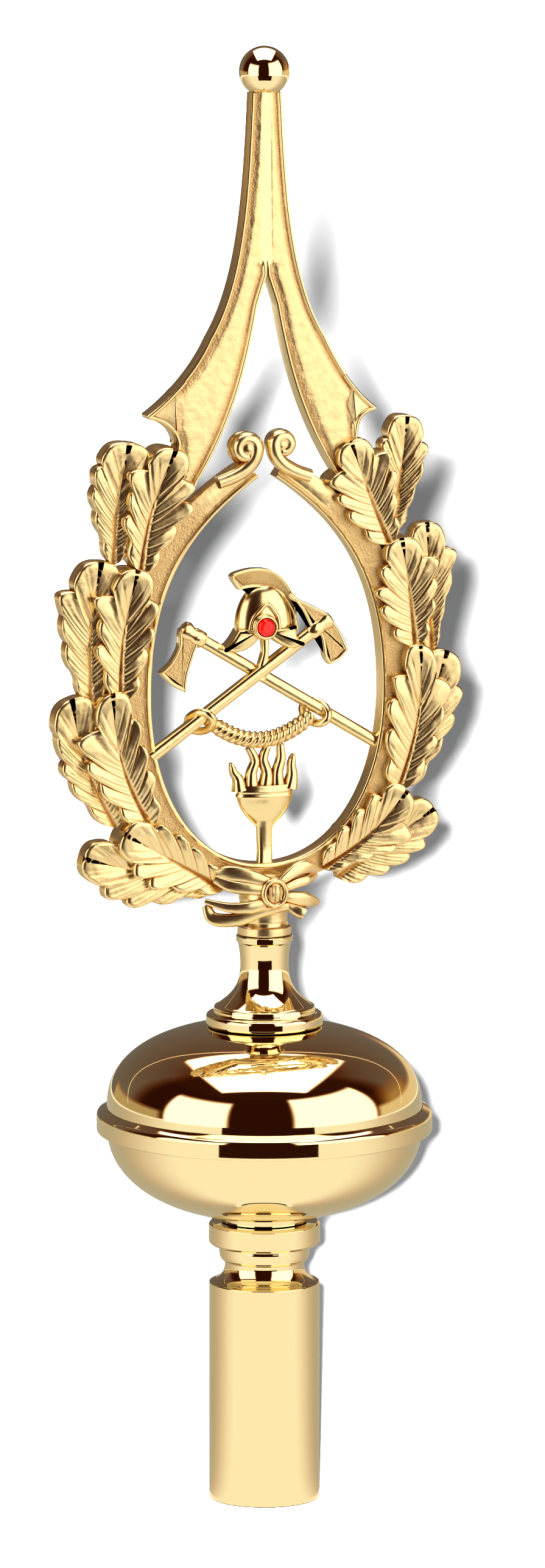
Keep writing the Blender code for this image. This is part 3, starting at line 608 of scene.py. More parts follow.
    @staticmethod
    def tube(
        name: str,
        path: np.ndarray,
        wide: np.ndarray | float,
        deep: np.ndarray | float,
        sides: int = 20,
        square: float = 2.0,
        strands: int = 0,
        twist: float = 0.0,
        ring: bool = False,
    ) -> Object:
        """A bar, ribbon, rope or flame along a path, closed at both ends or into a ring.

        Args:
            name: Name of the piece.
            path: Points of the centre line.
            wide: Half width, at each point or everywhere, across the path in the plane of the wreath.
            deep: Half depth, square to that.
            sides: Points round the section.
            square: 2 gives an ellipse; more squares it off.
            strands: Number of strands laid round the path, if it is a rope.
            twist: Turns of the strands in a millimetre.
            ring: Whether the path ends where it starts, without caps.

        Returns:
            The closed piece.
        """
        path = np.array(path, float)
        wide, deep = (np.broadcast_to(size, len(path)) for size in (wide, deep))
        along = np.gradient(path, axis=0)
        if ring:
            along[0] = along[-1] = path[1] - path[-2]
        along /= np.linalg.norm(along, axis=1)[:, None]
        across = np.cross(along, (0.0, 1.0, 0.0))
        across /= np.linalg.norm(across, axis=1)[:, None]
        outward = np.cross(across, along)
        run = np.concatenate([[0], np.cumsum(np.linalg.norm(np.diff(path, axis=0), axis=1))])
        turn = np.linspace(0, TAU, sides + 1)
        cos, sin = np.cos(turn), np.sin(turn)
        flat = np.sign(cos) * np.abs(cos) ** (2 / square)
        tall = np.sign(sin) * np.abs(sin) ** (2 / square)
        rows = []
        for i, centre in enumerate(path):
            swell = 1.0
            if strands:
                lay = strands / 2 * (turn - TAU * twist * run[i])
                swell = 0.78 + 0.24 * np.abs(np.cos(lay)) ** 0.8
            aside = np.outer(flat * swell * wide[i], across[i])
            rows.append(centre + aside + np.outer(tall * swell * deep[i], outward[i]))
        if not ring:
            rows = [np.repeat(path[:1], sides + 1, 0), *rows, np.repeat(path[-1:], sides + 1, 0)]
        rows = np.array(rows)
        obj = Bench.sheet(name, rows)
        Bench.weld(obj)
        return obj

    @staticmethod
    def plate(name: str, outline: list[Point], rings: list[tuple[float, float, float]]) -> Object:
        """A plate cut to an outline, with edges and steps laid out as rings inside the outline.

        Args:
            name: Name of the piece.
            outline: Points as x and z.
            rings: Inset, y and mould grain of each ring, from the back to the front.

        Returns:
            The closed plate.
        """
        line = evenly(outline, OUTLINE_STEP)
        rows, grain = [], []
        for inset, y, speck in rings:
            ring = shrunk(line, inset)
            ring = np.vstack([ring, ring[:1]])
            rows.append(np.stack([ring[:, 0], np.full(len(ring), y), ring[:, 1]], 1))
            grain.append(np.full(len(ring), speck))
        obj = Bench.sheet(name, np.array(rows), np.array(grain))
        Bench.edit(obj)
        bpy.ops.mesh.remove_doubles(threshold=WELD_REACH * MM)
        bpy.ops.mesh.fill_holes(sides=0)
        bpy.ops.mesh.select_all(action="SELECT")
        bpy.ops.mesh.normals_make_consistent(inside=False)
        Bench.leave()
        return obj

    @staticmethod
    def blob(name: str, centre: tuple[float, float, float], reach: tuple[float, float, float]) -> Object:
        """A ball squashed to three half sizes.

        Args:
            name: Name of the piece.
            centre: Its middle.
            reach: Half sizes along x, y and z.

        Returns:
            The closed piece.
        """
        bpy.ops.object.select_all(action="DESELECT")
        bpy.ops.mesh.primitive_uv_sphere_add(segments=40, ring_count=24, radius=MM)
        obj = Bench.made(name)
        Bench.edit(obj)
        bpy.ops.transform.resize(value=reach)
        bpy.ops.transform.translate(value=tuple(c * MM for c in centre))
        Bench.leave()
        return obj

    @staticmethod
    def joined(name: str, pieces: list[Object]) -> Object:
        """Joins overlapping pieces of one casting into one object.

        Args:
            name: Name of the result.
            pieces: The pieces to join.

        Returns:
            The joined object.
        """
        bpy.ops.object.select_all(action="DESELECT")
        for piece in pieces:
            piece.select_set(True)
        bpy.context.view_layer.objects.active = pieces[0]
        bpy.ops.object.join()
        pieces[0].name = pieces[0].data.name = name
        return pieces[0]


def hand_over(obj: Object, node: str, material: Material, angle: float = 40.0) -> None:
    """Gives a finished piece its shading and material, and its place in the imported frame.

    Args:
        obj: The finished piece.
        node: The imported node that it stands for.
        material: What it is made of.
        angle: Edges under this angle are shaded smooth, in degrees.
    """
    Bench.pick(obj)
    bpy.ops.object.shade_smooth_by_angle(angle=math.radians(angle))
    obj.data.materials.clear()
    obj.data.materials.append(material)
    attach(obj, "root")
    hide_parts(node)
    log.info("%s: %d faces for %s", obj.name, len(obj.data.polygons), node)


# Turned and spun pieces


@dataclass
class PoleSocket:
    """Tube that slips over the pole, with a groove, a cone and a collar."""

    radius: float = 18.0
    bore: float = 16.5
    bore_end: float = 68.0
    length: float = 72.0
    groove: Point = (12.9, 78.6)
    cone: Point = (14.6, 84.2)
    collar_radius: float = 18.1
    top: float = 91.8

    def build(self) -> Object:
        """Turns the socket.

        Returns:
            The turned piece.
        """
        profile = [(0, self.bore_end), (self.bore, self.bore_end), (self.bore, 0.4), (self.bore + 0.4, 0.0)]
        profile += [(self.radius - 0.25, 0.0), (self.radius, 0.25), (self.radius, self.length - 0.3)]
        profile += quarter(
            (self.radius - 0.3, self.length), (self.groove[0], self.length + 0.4),
            (self.groove[0], self.groove[1] - 0.8), 12
        )
        profile += [(self.groove[0], self.groove[1] + 0.2)]
        profile += quarter(
            (self.groove[0] + 0.4, self.groove[1] + 0.3), (self.cone[0] + 0.9, self.groove[1] + 0.6),
            (self.cone[0], self.cone[1]), 8
        )
        profile += [(self.collar_radius - 0.9, self.cone[1]), (self.collar_radius, self.cone[1] + 0.9)]
        profile += [(self.collar_radius, self.top - 0.8), (self.collar_radius - 0.8, self.top), (0, self.top)]
        obj = Bench.turned("pole_socket_turned", profile)
        Bench.soften(obj, 0.12, 2, 20)
        return obj

    def dress(self, brass: Material) -> None:
        """Builds it and hands it over."""
        hand_over(self.build(), "pole_socket", brass, 50)


@dataclass
class Ball:
    """Two spun halves of the flattened ball, and the belt round it."""

    radius: float = 51.2
    base: float = 92.1
    seat: Point = (14.0, 1.2)
    belt_radius: float = 54.6
    belt_base: float = 121.95
    belt_top: float = 127.75
    parting: float = 129.75
    dome_base: float = 130.05
    dome_height: float = 27.4
    bowl_fullness: float = 2.2
    dome_fullness: float = 2.35
    middle: float = 123.4

    def dome_at(self, radius: float) -> float:
        """Height of the dome over a distance from the axis."""
        share = min(radius / self.radius, 1.0)
        return self.dome_base + self.dome_height * (1 - share**self.dome_fullness) ** (1 / self.dome_fullness)

    def lower(self) -> Object:
        """Spins the bowl and turns its belt.

        Returns:
            The lower half.
        """
        profile = [(0, self.base), (self.seat[0], self.base), (self.seat[0], self.base + 0.3)]
        depth = self.middle - self.base - self.seat[1]
        first = math.asin((self.seat[0] / self.radius) ** (self.bowl_fullness / 2))
        for turn in np.linspace(first, math.pi / 2, 60):
            radius = self.radius * math.sin(turn) ** (2 / self.bowl_fullness)
            height = self.middle - depth * max(math.cos(turn), 0.0) ** (2 / self.bowl_fullness)
            if height < self.belt_base - 0.2:
                profile.append((radius, height))
        profile += [(self.radius + 0.1, self.belt_base), (self.belt_radius - 1.0, self.belt_base)]
        profile += quarter(
            (self.belt_radius - 0.5, self.belt_base), (self.belt_radius, self.belt_base),
            (self.belt_radius, self.belt_base + 0.9), 4
        )
        profile += quarter(
            (self.belt_radius, self.belt_top - 0.6), (self.belt_radius, self.belt_top + 0.5),
            (self.belt_radius - 1.2, self.belt_top + 0.9), 5
        )
        profile += [(self.radius + 0.2, self.parting), (0, self.parting)]
        return Bench.turned("ball_bowl_spun", profile, 256)

    def upper(self) -> Object:
        """Spins the dome.

        Returns:
            The upper half.
        """
        profile = [(0, self.dome_base - 0.25)]
        profile += [(self.radius, self.dome_base - 0.25)]
        for turn in np.linspace(math.pi / 2, 0, 90):
            radius = self.radius * math.sin(turn) ** (2 / self.dome_fullness)
            profile.append((radius, self.dome_at(radius)))
        return Bench.turned("ball_dome_spun", profile, 256)

    def dress(self, brass: Material) -> None:
        """Builds both halves and hands them over."""
        hand_over(self.lower(), "ball_lower_half", brass, 50)
        hand_over(self.upper(), "ball_upper_half", brass, 60)


@dataclass
class Spindle:
    """Stepped flange, trumpet, waist and ring."""

    base: float = 156.58
    flange: Point = (19.0, 4.2)
    step: Point = (16.4, 2.4)
    foot: float = 15.8
    trumpet_height: float = 13.8
    waist: float = 7.9
    neck: Point = (8.7, 7.0)
    ring: Point = (9.2, 2.4)

    def build(self, ball: Ball) -> Object:
        """Turns the spindle to sit on the dome.

        Args:
            ball: The ball that carries it.

        Returns:
            The turned piece.
        """
        radius, height = self.flange
        profile = [(r, ball.dome_at(r) + 0.3) for r in np.linspace(0, radius - 0.6, 8)]
        top = self.base + height
        profile += quarter(
            (radius - 0.3, self.base + 0.15), (radius, self.base + 0.2), (radius, self.base + 1.0), 3
        )
        profile += [(radius, top - 1.5)]
        profile += quarter((radius, top - 1.3), (radius, top), (radius - 1.2, top), 5)
        profile += [
            (self.step[0] + 0.7, top), (self.step[0] + 0.55, top + 0.25), (self.step[0] + 0.15, top + 0.3)
        ]
        step_top = top + self.step[1]
        profile += quarter(
            (self.step[0] + 0.1, top + 0.4), (self.step[0] + 0.3, step_top - 1.0),
            (self.step[0], step_top - 0.8), 3
        )
        profile += quarter((self.step[0], step_top - 0.6), (self.step[0], step_top), (self.foot, step_top), 4)
        waist = step_top + self.trumpet_height
        trumpet = [
            (self.foot - 0.1, step_top + 0.02),
            (0.62 * self.foot, step_top + 0.30 * self.trumpet_height),
            (self.waist, step_top + 0.50 * self.trumpet_height),
            (self.waist, waist),
        ]
        profile += swept(trumpet, 28)
        ring_base = waist + self.neck[1]
        neck = [(self.waist, waist), (self.waist, waist + 2.5), (8.2, ring_base - 2)]
        profile += swept([*neck, (self.neck[0], ring_base)], 10)[1:]
        profile += [(self.ring[0], ring_base + 0.35), (self.ring[0], ring_base + self.ring[1] - 0.3)]
        profile += [(self.ring[0] - 0.3, ring_base + self.ring[1]), (0, ring_base + self.ring[1])]
        return Bench.turned("spindle_turned", profile)

    def dress(self, ball: Ball, brass: Material) -> None:
        """Builds it on the ball and hands it over."""
        hand_over(self.build(ball), "spindle", brass, 50)


@dataclass
class TopBall:
    """The turned ball on the tip of the spike."""

    radius: float = 8.15
    centre: float = 466.8
    neck: Point = (5.0, 460.4)

    def build(self) -> Object:
        """Turns the ball with its short neck.

        Returns:
            The turned piece.
        """
        profile = [(0, self.neck[1]), (self.neck[0], self.neck[1])]
        first = -math.acos(self.neck[0] / self.radius)
        for turn in np.linspace(first, math.pi / 2, 60):
            profile.append(
                (self.radius * max(math.cos(turn), 0.0), self.centre + self.radius * math.sin(turn))
            )
        return Bench.turned("top_ball_turned", profile, 128)

    def dress(self, brass: Material) -> None:
        """Builds it and hands it over."""
        hand_over(self.build(), "top_ball", brass, 50)


# The wreath


@dataclass
class Oval:
    """The oval opening of the wreath, which the band, the leaves and the emblem are set out from."""

    foot: float = 210.08
    waist: float = 266.08
    top: float = 338.08
    half_width: float = 39.2
    fullness: float = 2.15

    def side(self, steps: int) -> np.ndarray:
        """Right half of the inner edge.

        Args:
            steps: Steps below the widest place, and again above it.

        Returns:
            Points as x and z from the foot to the top.
        """
        turn = np.linspace(0, math.pi / 2, steps, endpoint=False)
        lower = np.stack(
            [
                self.half_width * np.sin(turn) ** (2 / self.fullness),
                self.waist - (self.waist - self.foot) * np.cos(turn) ** (2 / self.fullness),
            ],
            1,
        )
        rise = self.top - self.waist
        upper = bezier(
            [
                (self.half_width, self.waist),
                (self.half_width, self.waist + 0.47 * rise),
                (0.72 * self.half_width, self.waist + 0.75 * rise),
                (0.0, self.top),
            ],
            steps,
        )
        return np.vstack([lower, upper])


def square_off(points: np.ndarray) -> np.ndarray:
    """Directions square to a line, to its right hand side going along it with z up.

    Args:
        points: Points as x and z.

    Returns:
        Unit vectors as x and z.
    """
    along = np.gradient(points, axis=0)
    along /= np.linalg.norm(along, axis=1)[:, None]
    return np.stack([along[:, 1], -along[:, 0]], 1)


@dataclass
class OvalBand:
    """The band round the oval: a polished lip, a grained ground, and plainer arms near the top."""

    oval: Oval
    width: float = 9.5
    foot_width: float = 6.5
    top_width: float = 6.8
    depth: float = 3.5
    lip: float = 1.3

    def width_at(self, share: np.ndarray) -> np.ndarray:
        """Width of the band from the foot (0) to the top (1)."""
        return np.interp(
            share, [0, 0.25, 0.8, 1.0], [self.foot_width, self.width, self.width, self.top_width]
        )

    def build(self) -> Object:
        """Models the band in one strip, from the left top round the foot to the right top.

        Returns:
            The closed band.
        """
        side = self.oval.side(110)
        normals = square_off(side)
        share = np.linspace(0, 1, len(side))
        wide = self.width_at(share)
        depth, lip = self.depth, self.lip
        fixed = [
            (0.0, -depth + 0.55), (0.12, -depth + 0.2), (0.4, -depth), (lip - 0.35, -depth - 0.05),
            (lip, -depth + 0.2)
        ]
        fixed += [(lip + 0.12, -depth + 0.75), (lip + 0.5, -depth + 0.9)]
        shares = np.linspace(0.15, 0.97, 10)
        right, grain = [], []
        for (x, z), (nx, nz), w, s in zip(side, normals, wide, share):
            arm = float(smooth_step(0.84, 0.9, s))
            row, speck = [], []
            for away, y in fixed:
                row.append((x + nx * away, y, z + nz * away))
                speck.append(1.0 if away > lip + 0.3 else 0.0)
            for part in shares:
                away = lip + 0.5 + (w - lip - 0.5) * part
                y = -depth + 0.9 - 0.35 * arm * math.sin(math.pi * part)
                row.append((x + nx * away, y, z + nz * away))
                speck.append(1.0 - 0.75 * arm)
            row.append((x + nx * w, -depth + 1.3, z + nz * w))
            speck.append(0.5)
            right.append(row)
            grain.append(speck)
        right, grain = np.array(right)[:-4], np.array(grain)[:-4]
        left = right[:0:-1] * (-1, 1, 1)
        rows = np.vstack([left, right])
        speck = np.vstack([grain[:0:-1], grain])
        return Bench.relief("oval_band_cast", rows, np.full(rows.shape[:2], depth), speck)


@dataclass
class Volute:
    """A rolled end of the band: a ring that curls round a button."""

    side: Side
    centre: Point
    reach: float
    thick: float = 2.6
    button: float = 3.5

    def build(self) -> list[Object]:
        """Models the ring, the button and the web behind them.

        Returns:
            The overlapping pieces.
        """
        s = self.side.value
        cx, cz = self.centre
        ring = self.reach - self.thick
        path, wide = [], []
        arm = bezier(
            [(s * 9.5, -10.6), (s * 4.0, -9.0), (-s * (ring - 0.2), -6.6), (-s * ring, 0.0)], 14
        )[:-1]
        for index, (x, z) in enumerate(arm):
            path.append((cx + x, -2.9, cz + z))
            wide.append(2.2 + (self.thick - 2.2) * index / len(arm))
        for t in np.linspace(0, 1, 44):
            turn = math.pi - t * math.radians(285)
            radius = ring * (1 - 0.22 * t**1.5)
            path.append((cx + s * radius * math.cos(turn), -2.9 - 0.7 * t, cz + radius * math.sin(turn)))
            wide.append(self.thick * (1 - 0.35 * t))
        wide = np.array(wide)
        name = f"volute_{self.side.name.lower()}"
        roll = Bench.tube(name, np.array(path), wide, wide * 1.25, 18, 2.4)
        button = Bench.blob(f"{name}_button", (cx - s * 0.5, -3.2, cz + 0.1), (self.button, 2.6, self.button))
        web = Bench.blob(f"{name}_web", (cx, 0.0, cz), (self.reach - 0.5, 3.9, self.reach - 0.5))
        return [roll, button, web]


@dataclass
class Gable:
    """Half of the gable with the spike: raised rims round a ground that is buffed in its middle."""

    side: Side
    barb_reach: float
    oval_top: float = 338.08
    spike_height: float = 122.0
    tip_half: float = 5.1
    shoulder: Point = (19.5, 43.5)
    barb_rise: float = 19.5
    notch: Point = (30.5, 9.5)
    slit_top: float = 63.5
    slit_half: float = 24.0
    depth: float = 3.8
    tip_depth: float = 2.9
    rim: float = 1.7

    def outer(self) -> tuple[np.ndarray, np.ndarray]:
        """The outer edge.

        Returns:
            The flank from the tip down to the barb, and the hollow from the barb to the notch.
        """
        top, reach, barb = self.oval_top, self.barb_reach, self.barb_rise
        tip, (wide, rise) = self.tip_half, self.shoulder
        spike = bezier(
            [
                (tip, top + self.spike_height),
                (1.27 * tip, top + 0.754 * self.spike_height),
                (1.57 * tip, top + 0.508 * self.spike_height),
                (wide, top + rise),
            ],
            60,
        )
        flank = bezier(
            [
                (wide, top + rise), (1.23 * wide, top + 0.78 * rise), (0.8 * reach, top + 0.575 * rise),
                (reach, top + barb)
            ],
            40
        )
        hollow = bezier(
            [
                (reach - 0.5, top + barb - 1.2),
                (reach - 6, top + barb - 2.5),
                (1.02 * self.notch[0], top + 1.5 * self.notch[1]),
                (self.notch[0], top + self.notch[1]),
            ],
            30,
        )
        return np.vstack([spike, flank[1:]]), hollow

    def slit(self) -> np.ndarray:
        """The slit's edge, from its apex down."""
        top, half, rise = self.oval_top, self.slit_half, self.slit_top
        curve = bezier(
            [
                (half, top - 0.05 * rise), (0.54 * half, top + 0.22 * rise),
                (0.31 * half, top + 0.47 * rise), (0.13 * half, top + 0.85 * rise)
            ],
            60
        )
        return np.vstack([[(0.0, top + rise)], curve[::-1]])

    def build(self) -> list[Object]:
        """Models the half panel with its rims, and the barb beside it.

        Returns:
            The overlapping pieces.
        """
        flank, hollow = self.outer()
        slit = self.slit()
        top = self.oval_top
        corner = (self.barb_reach - 7.2, top + self.barb_rise + 1.6)
        upper = flank[flank[:, 1] > corner[1] + 2.5]
        lower = hollow[hollow[:, 0] < corner[0] - 1.0]
        edge = np.vstack([upper, [corner], lower, [(self.notch[0] + 0.5, top - 4.0)]])
        levels = np.concatenate([np.arange(top + self.spike_height, top - 4.0, -0.6), [top - 4.0]])
        out = np.interp(-levels, -edge[:, 1], edge[:, 0])
        inn = np.interp(-levels, -slit[:, 1], slit[:, 0], left=0.0)
        tilt_out = np.clip(np.hypot(1, np.gradient(out, levels)), 1, 2.2)
        tilt_in = np.clip(np.hypot(1, np.gradient(inn, levels)), 1, 2.2)
        apex = top + self.slit_top
        rails = np.array([0.0, 0.13, 0.38, 0.66, 0.94, 1.18, 1.35, 1.6])
        shape = np.array([0.6, 0.15, 0.0, -0.05, 0.0, 0.2, 0.75, 0.95])
        rows, grain = [], []
        for z, xo, xi, to, ti in zip(levels, out, inn, tilt_out, tilt_in):
            deep = self.depth + (self.tip_depth - self.depth) * (z - top) / self.spike_height
            width = xo - xi
            ridge = float(smooth_step(apex + 5.0, apex + 0.5, z))
            below = smooth_step(top + 27.0, top + 24.5, z)
            inside = float(below * smooth_step(top + 13.0, top + 15.5, z))
            rail_out = np.minimum(rails * to, 0.42 * width)
            rail_in = np.minimum(rails * ti, 0.42 * width)
            row = [(xo - a, -deep + y * (1 - inside) + 0.62 * inside) for a, y in zip(rail_out, shape)]
            speck = [0.6 * inside] * 6 + [0.7, 1.0]
            start, end = xo - rail_out[-1], xi + rail_in[-1]
            reach = max(start - end, 0.1)
            for part in np.linspace(0, 1, 14)[1:-1]:
                x = start + (end - start) * part
                away = min(part * reach, ((1 - part) * reach) if ridge > 0.5 else part * reach + 3)
                rise = float(smooth_step(0.3, 2.6, away))
                row.append((x, -deep + 0.98 - 0.42 * rise))
                speck.append(1.0 - 0.62 * rise)
            for a, y in zip(rail_in[::-1], shape[::-1]):
                flat = 0.60
                row.append((xi + a, -deep + flat + (y - flat) * ridge))
                speck.append((1.0 if y > 0.5 and a > 1 else 0.0) * ridge)
            rows.append([(self.side.value * x, y, z) for x, y in row])
            grain.append(speck)
        rows = np.array(rows)
        back = -rows[:, :, 1] - 0.3 * (rows[:, :, 1] + 3.4)
        name = f"gable_{self.side.name.lower()}"
        panel = Bench.relief(name, rows, back, np.array(grain))
        tip = flank[flank[:, 1] < corner[1] + 7.0]
        outline = [tuple(p) for p in tip[::3]] + [tuple(tip[-1])]
        outline += [tuple(p) for p in hollow[::3] if p[0] > corner[0] - 3.5]
        outline += [(corner[0] - 3.0, corner[1] - 0.5)]
        outline = [(self.side.value * x, z) for x, z in outline]
        barb = Bench.plate(f"{name}_barb", outline, edged(-self.depth + 0.62, self.depth - 0.3, 0.3))
        made = [panel, barb]
        for part, line in (("flank", flank[flank[:, 1] < top + 31.0]), ("hollow", hollow)):
            step = np.gradient(line, axis=0)
            inward = np.stack([step[:, 1], -step[:, 0]], 1) / np.linalg.norm(step, axis=1)[:, None]
            line = line + 0.8 * inward
            level = np.full(len(line), -self.depth + 0.75)
            path = np.stack([self.side.value * line[:, 0], level, line[:, 1]], 1)
            made.append(Bench.tube(f"{name}_rim_{part}", path, 0.78, 0.78, 16))
        return made


@dataclass
class OakLeaf:
    """A cast oak leaf: lobes with puffed quilts between its veins, a deep midrib and thick edges."""

    name: str
    base: Point
    tip: Point
    left: tuple[float, ...]
    right: tuple[float, ...]
    tip_half: float
    layer: Layer
    bend: float = 1.5
    seed: int = 0

    edge_depth = {Layer.FRONT: 4.6, Layer.BACK: 2.1}
    crown = {Layer.FRONT: 1.5, Layer.BACK: 1.2}
    lift = {Layer.FRONT: 2.0, Layer.BACK: 1.2}
    cut = {Layer.FRONT: 0.26, Layer.BACK: 0.14}
    stem_half: float = 1.6
    lobe_steps: int = 24
    tip_steps: int = 30

    def outline(self, reaches: tuple[float, ...], length: float) -> tuple[np.ndarray, np.ndarray]:
        """One side's outline.

        Args:
            reaches: Reach of each lobe from the midrib, from the base up.
            length: Length of the leaf.

        Returns:
            Distance along the midrib and reach from it, at each row.
        """
        chance = np.random.default_rng(self.seed + round(10 * sum(reaches)))
        cut = self.cut[self.layer]
        count = len(reaches)
        marks = [length * (0.03 + 0.76 * (k / count) ** 0.92) for k in range(count + 1)]
        for k in range(1, count):
            marks[k] += chance.uniform(-0.02, 0.02) * length
        notches = [self.stem_half]
        for k in range(1, count):
            notches.append((1 - cut * chance.uniform(0.7, 1.3)) * 0.5 * (reaches[k - 1] + reaches[k]))
        notches.append((1 - 0.5 * cut) * min(reaches[-1], self.tip_half))
        along, away = [], []
        for k in range(count):
            peak = chance.uniform(0.45, 0.6)
            for t in np.linspace(0, 1, self.lobe_steps, endpoint=False):
                bent = 0.5 * t / peak if t < peak else 0.5 + 0.5 * (t - peak) / (1 - peak)
                bump = math.sin(math.pi * bent) ** 0.72
                base = notches[k] + (notches[k + 1] - notches[k]) * t
                along.append(marks[k] + (marks[k + 1] - marks[k]) * t + 0.1 * reaches[k] * bump)
                away.append(base + max(reaches[k] - base, 0.3) * bump)
        start = math.acos(min(notches[-1] / self.tip_half, 1.0) ** (1 / 0.75))
        middle = (marks[-1] + length * math.sin(start)) / (1 + math.sin(start))
        for t in np.linspace(0, 1, self.tip_steps):
            turn = -start + (math.pi / 2 + start) * t
            wave = 1 + 0.035 * math.sin(3 * math.pi * t) * (1 - t)
            along.append(middle + (length - middle) * math.sin(turn))
            away.append(self.tip_half * wave * max(math.cos(turn), 0.0) ** 0.75)
        return np.array(along), np.array(away)

    def build(self) -> Object:
        """Models the leaf.

        Returns:
            The closed leaf.
        """
        chance = np.random.default_rng(self.seed)
        base, tip = np.array(self.base), np.array(self.tip)
        length = float(np.linalg.norm(tip - base))
        along = (tip - base) / length
        across = np.array((along[1], -along[0]))
        count = len(self.left)
        lobe_rows = count * self.lobe_steps
        total = lobe_rows + self.tip_steps
        row = np.arange(total)
        place = np.where(
            row < lobe_rows, row / self.lobe_steps, count + (row - lobe_rows) / (self.tip_steps - 1)
        )
        rib = length * np.interp(place, [0, count, count + 1], [0.0, 0.50, 0.80])
        in_tip = place >= count
        phase = np.where(in_tip, place - count, place % 1.0)
        front = self.layer is Layer.FRONT
        edge, crown, lift = self.edge_depth[self.layer], self.crown[self.layer], self.lift[self.layer]
        steps = np.array(
            [
                0, 0.025, 0.055, 0.09, 0.14, 0.2, 0.27, 0.34, 0.42, 0.5, 0.58, 0.66, 0.74, 0.81, 0.87, 0.92,
                0.96, 0.985, 1.0
            ]
        )
        columns = np.concatenate([-steps[:0:-1], steps])
        rows = np.zeros((total, len(columns), 3))
        back = np.zeros((total, len(columns)))
        grain = np.zeros((total, len(columns)))
        for side, reaches in ((-1, self.left), (1, self.right)):
            tilts = chance.uniform(-0.35, 0.7, count + 2)
            q_out, p_out = self.outline(reaches, length)
            reach = np.hypot(q_out - rib, p_out)
            lobe = np.minimum(place.astype(int), count)
            for index, column in enumerate(columns):
                if column * side < 0:
                    continue
                t = abs(column)
                q = rib + (q_out - rib) * t - 0.045 * reach * math.sin(math.pi * t)
                p = p_out * t
                level = edge + lift * (q / length - 0.45)
                ease = 0.35 + 0.65 * min(t / 0.6, 1.0) ** 0.8
                rim = np.clip(1.0 - (1 - t) * np.maximum(reach, 2.0) / 1.5, 0, 1)
                shape = crown * ease - 0.95 * (1 - np.sqrt(1 - np.minimum(rim, 0.999) ** 2))
                start = min(t / 0.1, 1.0)
                side_vein = start * float(smooth_step(0.9, 0.5, t))
                half_vein = start * float(smooth_step(0.6, 0.3, t))
                stop = start * float(smooth_step(1.0, 0.8, t))
                near = np.where(in_tip, np.abs(phase - 0.28) * 1.4, np.minimum(phase, 1 - phase))
                groove = np.exp(-((near / (0.06 + 0.03 * t)) ** 2)) * (stop if front else side_vein)
                middle = np.where(in_tip, np.abs(phase - 0.62) * 1.4, np.abs(phase - 0.5))
                groove = groove + 0.6 * np.exp(-((middle / 0.06) ** 2)) * (side_vein if front else stop)
                fine = np.minimum(np.abs(phase - 0.26), np.abs(phase - 0.75))
                fine_depth, fine_end = (0.22, half_vein) if front else (0.4, stop)
                groove = groove + fine_depth * np.exp(-((fine / 0.06) ** 2)) * fine_end
                shape = shape - (0.27 if front else 0.24) * groove
                pad = np.where(in_tip, 0.6 + 0.4 * phase, np.sin(math.pi * np.clip(phase, 0.0, 1.0)) ** 0.6)
                shape = shape - (0.65 if front else 0.4) * (1 - pad) * t**2
                sink = np.exp(-((t * reach * 0.8 / 0.6) ** 2)) * (1 - (place / (count + 1)) ** 3)
                sink = sink * np.where(in_tip, 1 - phase, 1.0)
                shape = shape - (0.75 if front else 0.45) * sink
                swell = tilts[lobe] * np.sin(math.pi * np.clip(phase, 0, 1)) * t**2
                shape = shape + np.where(in_tip, 0.3 * t**2 * (1 - phase), swell)
                sway = self.bend * np.sin(math.pi * np.clip(q / length, 0, 1))
                x = base[0] + along[0] * q + across[0] * (side * p + sway)
                z = base[1] + along[1] * q + across[1] * (side * p + sway)
                rows[:, index] = np.stack([x, -(level + shape), z], 1)
                back[:, index] = 0.85 * level + 0.6 * crown * ease - 0.3 * rim
                grain[:, index] = np.clip(
                    (0.6 if front else 0.7) * groove + 0.8 * sink + (0.0 if front else 0.15), 0, 1
                )
        return Bench.relief(self.name, rows, back, grain)


@dataclass
class HeadFoot:
    """The round foot of the casting, which flares up under the bow like a cloth."""

    base: float = 186.68
    radius: float = 8.7

    def build(self) -> Object:
        """Turns the foot.

        Returns:
            The closed piece.
        """
        b, r = self.base, self.radius
        profile = [(0, b), (r, b), (r + 0.05, b + 0.4), (r, b + 2.6), (r - 0.9, b + 3.0), (r - 1.3, b + 4.2)]
        profile += swept([(r - 1.2, b + 4.4), (r - 1.4, b + 7), (r - 0.8, b + 10), (r - 0.4, b + 12)], 10)
        profile += [(r - 1.0, b + 16), (r - 2.6, b + 20.0), (0, b + 22.0)]
        obj = Bench.turned("head_foot_cast", profile, 96)
        Bench.soften(obj, 0.2, 2)
        return obj


